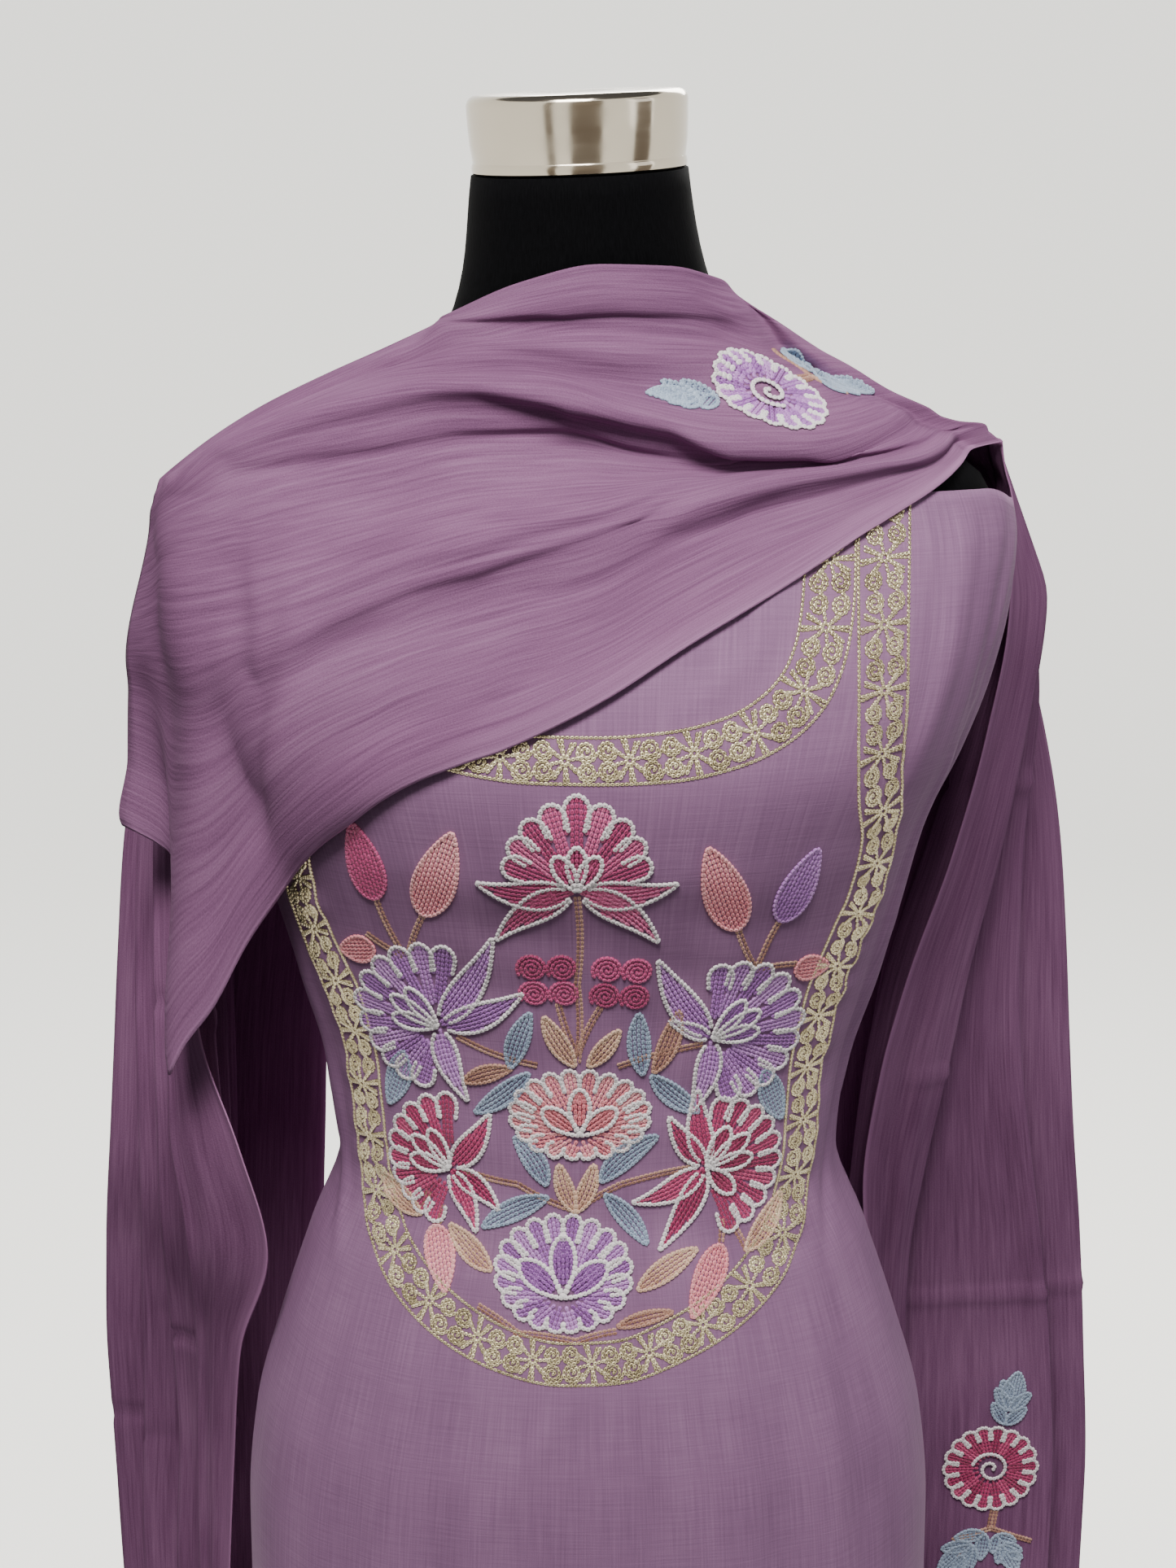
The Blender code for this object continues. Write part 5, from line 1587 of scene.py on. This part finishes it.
# The four lobes of a blossom: along the band in metres, and across it as a share
LOBES = ((-0.0050, 0.40), (0.0044, 0.46), (-0.0044, -0.46), (0.0050, -0.40))
LOBE_RADIUS, LOBE_TURNS = 0.0048, 2.50
STAR_REACH = 0.0086


def gold_band(bag, thread, band):
    for side in (-1.0, 1.0):
        edge = band.place(band.s, np.full(len(band.s), side))
        bag.row(thread, edge, 0.0021, 0.0018, 0.55, 0.0001)
    count = int(round(band.length / BAND_REPEAT))
    unit = band.length / count
    for k in range(count):
        middle = (k + 0.33) * unit
        half = np.interp(middle, band.s, band.half)
        for along, across in LOBES:
            spread = LOBE_RADIUS * (0.94 + 0.12 * rng.random())
            a = np.linspace(0.4, 2 * math.pi * LOBE_TURNS, 60)
            r = spread * (a / a[-1]) ** 0.8
            path = band.place(middle + along + r * np.cos(a), across + r * np.sin(a) / half)
            bag.row(thread, path, COIL_PITCH, COIL_WIDTH, 0.50 + 0.16 * rng.random(), 0.0002)
        star = (k + 0.83) * unit
        for turn in np.linspace(0, 2 * math.pi, 9)[:-1] + 0.2:
            reach_s = STAR_REACH * math.cos(turn)
            reach_t = math.sin(turn) * 0.96
            t = np.linspace(0.10, 1, 8)
            path = band.place(star + reach_s * t, reach_t * t)
            bag.row(thread, path, 0.0021, 0.0021, 0.66, 0.0003)
            # The rays that reach towards the edges are two rows wide
            if abs(reach_t) > 0.5:
                path = band.place(star + reach_s * t + 0.0018 * t, reach_t * t)
                bag.row(thread, path, 0.0022, 0.0017, 0.5, 0.0001)


gold_band(yoke, "gold yoke", Band(YOKE_BAND))
gold_band(yoke, "gold neck", Band(NECK_BAND))
print("gold rows:", len(yoke.held["gold yoke"]) + len(yoke.held["gold neck"]))

# %% [markdown]
# ## Threads
#
# The flowers are worked in twisted silk. Each stitch carries a number that says how far its dye
# has gone from the dark end of the hank to the light one, with painted shade added at each loop's
# foot and middle and a lighter crown, and the material reads it. The gold
# thread is a metal strip wound round a core, so it is partly metallic and its tone is uneven.

# %% Thread materials
def thread(name, dark, middle, light, roughness=0.48, metallic=0.0):
    material, tree, shader = node_tree(name, middle)
    # The stitch's dye tone, with the painted shade of its gaps, read from the mesh
    tone = tree.nodes.new("ShaderNodeAttribute")
    tone.attribute_name = "shade"
    place = tree.nodes.new("ShaderNodeTexCoord").outputs["Object"]
    twist = stretched_noise(tree, place, (1400, 1400, 1400), 2.0)
    mixed = add_heights(tree, (tone.outputs["Fac"], 0.78), (twist, 0.34))
    colour = ramp(tree, mixed, ((0.15, dark), (0.50, middle), (0.92, light)))
    tree.links.new(colour, shader.inputs["Base Color"])
    shader.inputs["Roughness"].default_value = roughness
    shader.inputs["Metallic"].default_value = metallic
    shader.inputs["Sheen Weight"].default_value = 0.0 if metallic else 0.12
    raise_bump(tree, shader, twist, 0.00012, 0.5)
    return material


# The dark end of the hank, its middle and its light end; the painted shade in each loop's gaps
# reaches towards the dark end
DYES = {
    "white": ((0.36, 0.27, 0.31), (0.86, 0.79, 0.80), (0.96, 0.93, 0.93)),
    "magenta": ((0.20, 0.008, 0.058), (0.58, 0.050, 0.215), (0.86, 0.22, 0.44)),
    "violet": ((0.17, 0.040, 0.22), (0.42, 0.150, 0.52), (0.68, 0.36, 0.74)),
    "salmon": ((0.46, 0.07, 0.10), (0.90, 0.27, 0.32), (0.98, 0.54, 0.54)),
    "maroon": ((0.16, 0.005, 0.038), (0.43, 0.018, 0.125), (0.70, 0.11, 0.26)),
    "blue": ((0.075, 0.10, 0.175), (0.26, 0.33, 0.46), (0.46, 0.56, 0.70)),
    "tan": ((0.28, 0.12, 0.075), (0.66, 0.38, 0.25), (0.90, 0.68, 0.50)),
    "stem": ((0.15, 0.055, 0.035), (0.42, 0.200, 0.140), (0.66, 0.40, 0.28)),
    "mauve": ((0.10, 0.045, 0.09), (0.22, 0.11, 0.20), (0.34, 0.19, 0.31)),
}
THREADS = {word: thread(word + "_thread", *dyes) for word, dyes in DYES.items()}
THREADS["gold"] = thread("gold_thread", (0.050, 0.036, 0.016), (0.34, 0.275, 0.150),
                         (0.98, 0.88, 0.62), roughness=0.32, metallic=0.58)
print("threads:", ", ".join(THREADS))


# %% Set the yoke's stitches on the kameez
SILK_THREAD, GOLD_THREAD, HEM_THREAD = 0.0010, 0.0008, 0.0006
# How far the foot of each stitch is sunk into the cloth
SUNK = 0.0001
front_heights = np.linspace(KAMEEZ_HEM, KAMEEZ_TOP, len(front_rows))
front_ground = Ground(front_rows, from_middle(front_rows), front_heights)
for hank in yoke.held:
    thickness = GOLD_THREAD if hank.startswith("gold") else SILK_THREAD
    yoke.set_down("yoke_" + hank.replace(" ", "_"), hank, front_ground, THREADS[hank.split()[0]],
                  thickness, KAMEEZ_WALL / 2 - SUNK)

# %% [markdown]
# ## Hems
#
# The kameez is turned up at the bottom and at its slits, and the cuffs of the salwar have two rows
# of topstitching. These are plain running stitches in the colour of the cloth, three to the
# centimetre, and each lies a little sunk into the silk.

# %% Running stitches along the hems and slits
HEM_DEPTH, SLIT_INSET = 0.016, 0.014
RUNNING_PITCH, RUNNING_WIDTH = 0.0034, 0.0011


def running(bag, path):
    bag.row("mauve", path, RUNNING_PITCH, RUNNING_WIDTH, 0.55, 0.0)


def hem_stitches(name, rows, top):
    bag = Stitches()
    heights = np.linspace(KAMEEZ_HEM, top, len(rows))
    over = from_middle(rows)
    low = int(np.searchsorted(heights, KAMEEZ_HEM + HEM_DEPTH))
    running(bag, [(over[low, 0] + SLIT_INSET, heights[low]), (0.0, heights[low]),
                  (over[low, -1] - SLIT_INSET, heights[low])])
    high = int(np.searchsorted(heights, SLIT_TOP))
    steps = np.linspace(low, high, 24).astype(int)
    for column, inset in ((0, SLIT_INSET), (-1, -SLIT_INSET)):
        running(bag, [(over[i, column] + inset, heights[i]) for i in steps])
    bag.set_down(name, "mauve", Ground(rows, over, heights), THREADS["mauve"],
                 HEM_THREAD, KAMEEZ_WALL / 2 - SUNK)


hem_stitches("hem_stitches_front", front_rows, KAMEEZ_TOP)
hem_stitches("hem_stitches_back", back_rows, KAMEEZ_BACK_TOP)

# %% Running stitches round the cuffs
seam_angle = np.linspace(0, 2 * math.pi, 121)
for word, side in (("right", 1), ("left", -1)):
    x, y = cuff_outline(side, seam_angle)
    rows = np.array([np.stack([side * x, y, np.full(len(x), h)], axis=1) for h in cuff_heights])
    ground = Ground(rows, lengths(rows, 1), cuff_heights)
    # The stitches stand on the outside, so the directions are turned away from the leg's middle
    outwards = (ground.normal[..., :1] * (rows[..., :1] - side * x.mean())
                + ground.normal[..., 1:2] * rows[..., 1:2])
    ground.normal = ground.normal * np.sign(outwards)
    bag = Stitches()
    for height in (CUFF_BOTTOM + 0.006, CUFF_TOP - 0.007):
        running(bag, [(0.0, height), (lengths(rows, 1)[0, -1], height)])
    bag.set_down(f"cuff_stitches_{word}", "mauve", ground, THREADS["mauve"],
                 HEM_THREAD, SALWAR_WALL / 2 - SUNK)

# %% [markdown]
# ## Sprigs on the dupatta
#
# Single flowers with two leaves are scattered over the shawl. Each is a round daisy with a curled
# centre, on a forked stem, with leaves cut into short lobes. The ground for each sprig is the
# shawl's own grid, measured out from the sprig's middle.

# %% One sprig
# Lobes of a leaf: share up the leaf, side, and length as a share of the leaf's
LEAF_LOBES = ((0.05, 1, 0.44), (0.05, -1, 0.44), (0.30, 1, 0.46), (0.30, -1, 0.46), (0.52, 1, 0.36))


def lobed_leaf(bag, base, angle, length):
    tip = ray(base, angle, length)
    bud(bag, "blue", ray(base, angle, length * 0.30), tip, length * 0.36, (0.50, 0.86), "leaf")
    for share, side, reach in LEAF_LOBES:
        root = ray(base, angle, length * share)
        bud(bag, "blue", root, ray(root, angle + side * 38, length * reach), length * 0.19,
            (0.34, 0.78), "leaf")


def sprig(bag, thread_name, radius, lean):
    """A flower at the pattern's origin; lean is the way its stem points."""
    rounded = [(360 * k / 18, radius, radius * 0.34) for k in range(18)]
    petals(bag, thread_name, (0.0, 0.0), rounded, (), (), TONES[thread_name])
    a = np.linspace(0.5, 2 * math.pi * 1.7, 40) + math.radians(lean)
    r = radius * 0.40 * (a - a[0] + 1.2) / (a[-1] - a[0] + 1.2)
    curl = np.stack([r * np.cos(a), r * np.sin(a)], axis=1)
    bag.row("white", curl, EDGE_PITCH, EDGE_WIDTH, 0.6, 0.0010)
    foot = ray((0, 0), lean, radius * 1.02)
    fork = ray((0, 0), lean - 4, radius * 1.45)
    stem(bag, [foot, fork], 3, (0.3, 0.6, 0.45))
    stem(bag, [fork, ray(fork, lean + 62, radius * 0.95)], 2)
    stem(bag, [fork, ray(fork, lean - 78, radius * 0.85)], 2, (0.8, 0.95))
    stem(bag, [ray(fork, lean - 78, radius * 0.30), ray(fork, lean - 52, radius * 0.95)], 1, (0.9,))
    lobed_leaf(bag, ray(fork, lean + 40, radius * 0.15), lean + 22, radius * 1.05)
    lobed_leaf(bag, ray((0, 0), lean + 158, radius * 1.02), lean + 160, radius * 1.35)
    lobed_leaf(bag, ray(fork, lean - 60, radius * 0.10), lean - 50, radius * 1.45)


# %% Where the sprigs lie
def ground_round(rows, row, column, front):
    """Measures a sheet's grid out from one of its points."""
    along = lengths(rows, 1)
    up = lengths(rows, 0)[:, column]
    ground = Ground(rows, along - along[:, column:column + 1], up - up[row])
    if (ground.normal[row, column, 1] > 0) == front:
        ground.normal = -ground.normal
    return ground


# The sprigs' stitches stand a little higher than half the crepe's shell
SPRIG_BASE = 0.0005
# The chest stretch again, with its rows counted upwards
chest_up = chest_rows[::-1, ::-1].transpose(1, 0, 2)
# Name, sheet, share up and share over of the middle, thread, radius, the way that the stem leans,
# and whether the sprig is on the side that faces the front
SPRIGS = (
    ("shoulder", chest_up, 0.771, 0.799, "violet", 0.0262, 24, True),
    ("fall_low", right_rows, 0.196, 0.446, "maroon", 0.0300, -84, True),
    ("back_right_high", right_rows, 0.640, 0.920, "violet", 0.0262, -62, False),
    ("back_right_low", right_rows, 0.260, 0.915, "maroon", 0.0262, -118, False),
    ("back_left_high", left_rows, 0.560, 0.940, "maroon", 0.0240, -70, False),
    ("back_left_low", left_rows, 0.200, 0.940, "violet", 0.0255, -110, False),
)
for word, rows, up_share, over_share, colour, radius, lean, front in SPRIGS:
    bag = Stitches()
    sprig(bag, colour, radius, lean)
    row, column = int(up_share * (len(rows) - 1)), int(over_share * (rows.shape[1] - 1))
    ground = ground_round(rows, row, column, front)
    for hank in bag.held:
        bag.set_down(f"sprig_{word}_{hank}", hank, ground, THREADS[hank],
                     SILK_THREAD, SPRIG_BASE)

# %% [markdown]
# ## Floor, lights and camera
#
# The suit stands on a plain pale floor that rises to a high wall all round, so that no edge shows
# behind it from any side. The floor glows a little of itself, but no light of it falls on the
# suit, which would flatten the folds. Three grey cards out of view are seen only by the polished
# metal, as in a studio. The light is soft: a large panel above and in front, a weaker one at the
# side, and one behind for the back views. The camera stands where the picture was taken: level
# with the neck, just over a metre away, and tipped thirteen degrees down.

# %% Floor
FLOOR_BEND, BEND_START, WALL_TOP = 1.4, 4.6, 7.5
FLOOR_COLUMNS = 96


def pale_floor():
    rings = [(1.5, 0.0), (3.5, 0.0), (BEND_START, 0.0)]
    rings += [(BEND_START + FLOOR_BEND * math.sin(a), FLOOR_BEND - FLOOR_BEND * math.cos(a))
              for a in np.linspace(0.15, math.pi / 2, 10)]
    rings += [(BEND_START + FLOOR_BEND, 3.4), (BEND_START + FLOOR_BEND, WALL_TOP)]
    work = bmesh.new()
    loops = []
    for radius, height in rings:
        loops.append([work.verts.new((radius * math.cos(a), radius * math.sin(a), height - 0.0005))
                      for a in np.linspace(0, 2 * math.pi, FLOOR_COLUMNS, endpoint=False)])
    work.faces.new(loops[0])
    for lower, upper in zip(loops, loops[1:]):
        for i in range(FLOOR_COLUMNS):
            j = (i + 1) % FLOOR_COLUMNS
            work.faces.new((lower[i], lower[j], upper[j], upper[i])).smooth = True
    bmesh.ops.recalc_face_normals(work, faces=work.faces[:])
    mesh = bpy.data.meshes.new("pale_floor")
    work.to_mesh(mesh)
    work.free()
    material, _, shader = node_tree("pale_floor_paint", (0.80, 0.78, 0.73))
    shader.inputs["Roughness"].default_value = 0.9
    shader.inputs["Emission Color"].default_value = (0.80, 0.79, 0.74, 1.0)
    shader.inputs["Emission Strength"].default_value = 1.9
    shader.inputs["Specular IOR Level"].default_value = 0.2
    floor = add_piece("pale_floor", mesh, material)
    floor.visible_diffuse = False


pale_floor()
print("floor out to", BEND_START + FLOOR_BEND, "m")


# %% Lights and grey cards
def soft_panel(name, place, target, size, power, colour):
    light = bpy.data.lights.new(name, "AREA")
    light.shape = "RECTANGLE"
    light.size, light.size_y = size
    light.energy = power
    light.color = colour
    panel = bpy.data.objects.new(name, light)
    panel.location = place
    panel.rotation_euler = (Vector(target) - Vector(place)).to_track_quat("-Z", "Y").to_euler()
    bpy.context.scene.collection.objects.link(panel)


CARD_DISTANCE, CARD_LOW, CARD_HIGH, CARD_STEPS = 2.6, 0.1, 3.4, 8


def dark_flag(name, angle, width):
    """A curved grey card that only the polished metal mirrors."""
    start, reach = math.radians(angle), math.radians(width)
    ring = [(CARD_DISTANCE * math.sin(a), -CARD_DISTANCE * math.cos(a))
            for a in np.linspace(start, start + reach, CARD_STEPS)]
    points = [(x, y, z) for z in (CARD_LOW, CARD_HIGH) for x, y in ring]
    faces = [(i, i + 1, i + 1 + CARD_STEPS, i + CARD_STEPS) for i in range(CARD_STEPS - 1)]
    mesh = bpy.data.meshes.new(name)
    mesh.from_pydata(points, [], faces)
    material, _, shader = node_tree(name + "_card", (0.280, 0.230, 0.180))
    shader.inputs["Roughness"].default_value = 0.9
    flag = add_piece(name, mesh, material)
    flag.visible_camera = flag.visible_diffuse = flag.visible_shadow = False


dark_flag("left_flag", angle=-34, width=9)
dark_flag("middle_flag", angle=-8, width=34)
dark_flag("far_flag", angle=62, width=20)
soft_panel("front_panel", place=(-0.20, -1.60, 3.35), target=(0, -0.05, 1.15), size=(1.2, 0.9),
           power=101, colour=(1.0, 0.985, 0.96))
soft_panel("side_panel", place=(2.4, -0.9, 2.0), target=(0, 0, 1.1), size=(1.4, 1.8),
           power=12, colour=(0.97, 0.985, 1.0))
soft_panel("back_panel", place=(0.6, 2.6, 3.0), target=(0, 0, 1.1), size=(1.8, 1.4),
           power=110, colour=(1.0, 0.99, 0.97))
world = bpy.data.worlds.new("soft_room")
bpy.context.scene.world = world
world.use_nodes = True
room = world.node_tree.nodes["Background"]
room.inputs["Color"].default_value = (0.86, 0.87, 0.88, 1.0)
room.inputs["Strength"].default_value = 0.16

# %% Camera
# The picture's height and the lens's reach, both in its pixels
PICTURE_HEIGHT, FOCAL_PIXELS = 1927, 2600
SENSOR, TIPPED_DOWN = 36.0, 13
lens = bpy.data.cameras.new("view")
lens.sensor_width = SENSOR
lens.lens = FOCAL_PIXELS / PICTURE_HEIGHT * SENSOR
camera = bpy.data.objects.new("view", lens)
camera.location = (0.0, -1.05, 1.48)
camera.rotation_euler = (math.radians(90 - TIPPED_DOWN), 0.0, 0.0)
bpy.context.scene.collection.objects.link(camera)
bpy.context.scene.camera = camera
print("camera at", tuple(round(c, 2) for c in camera.location))
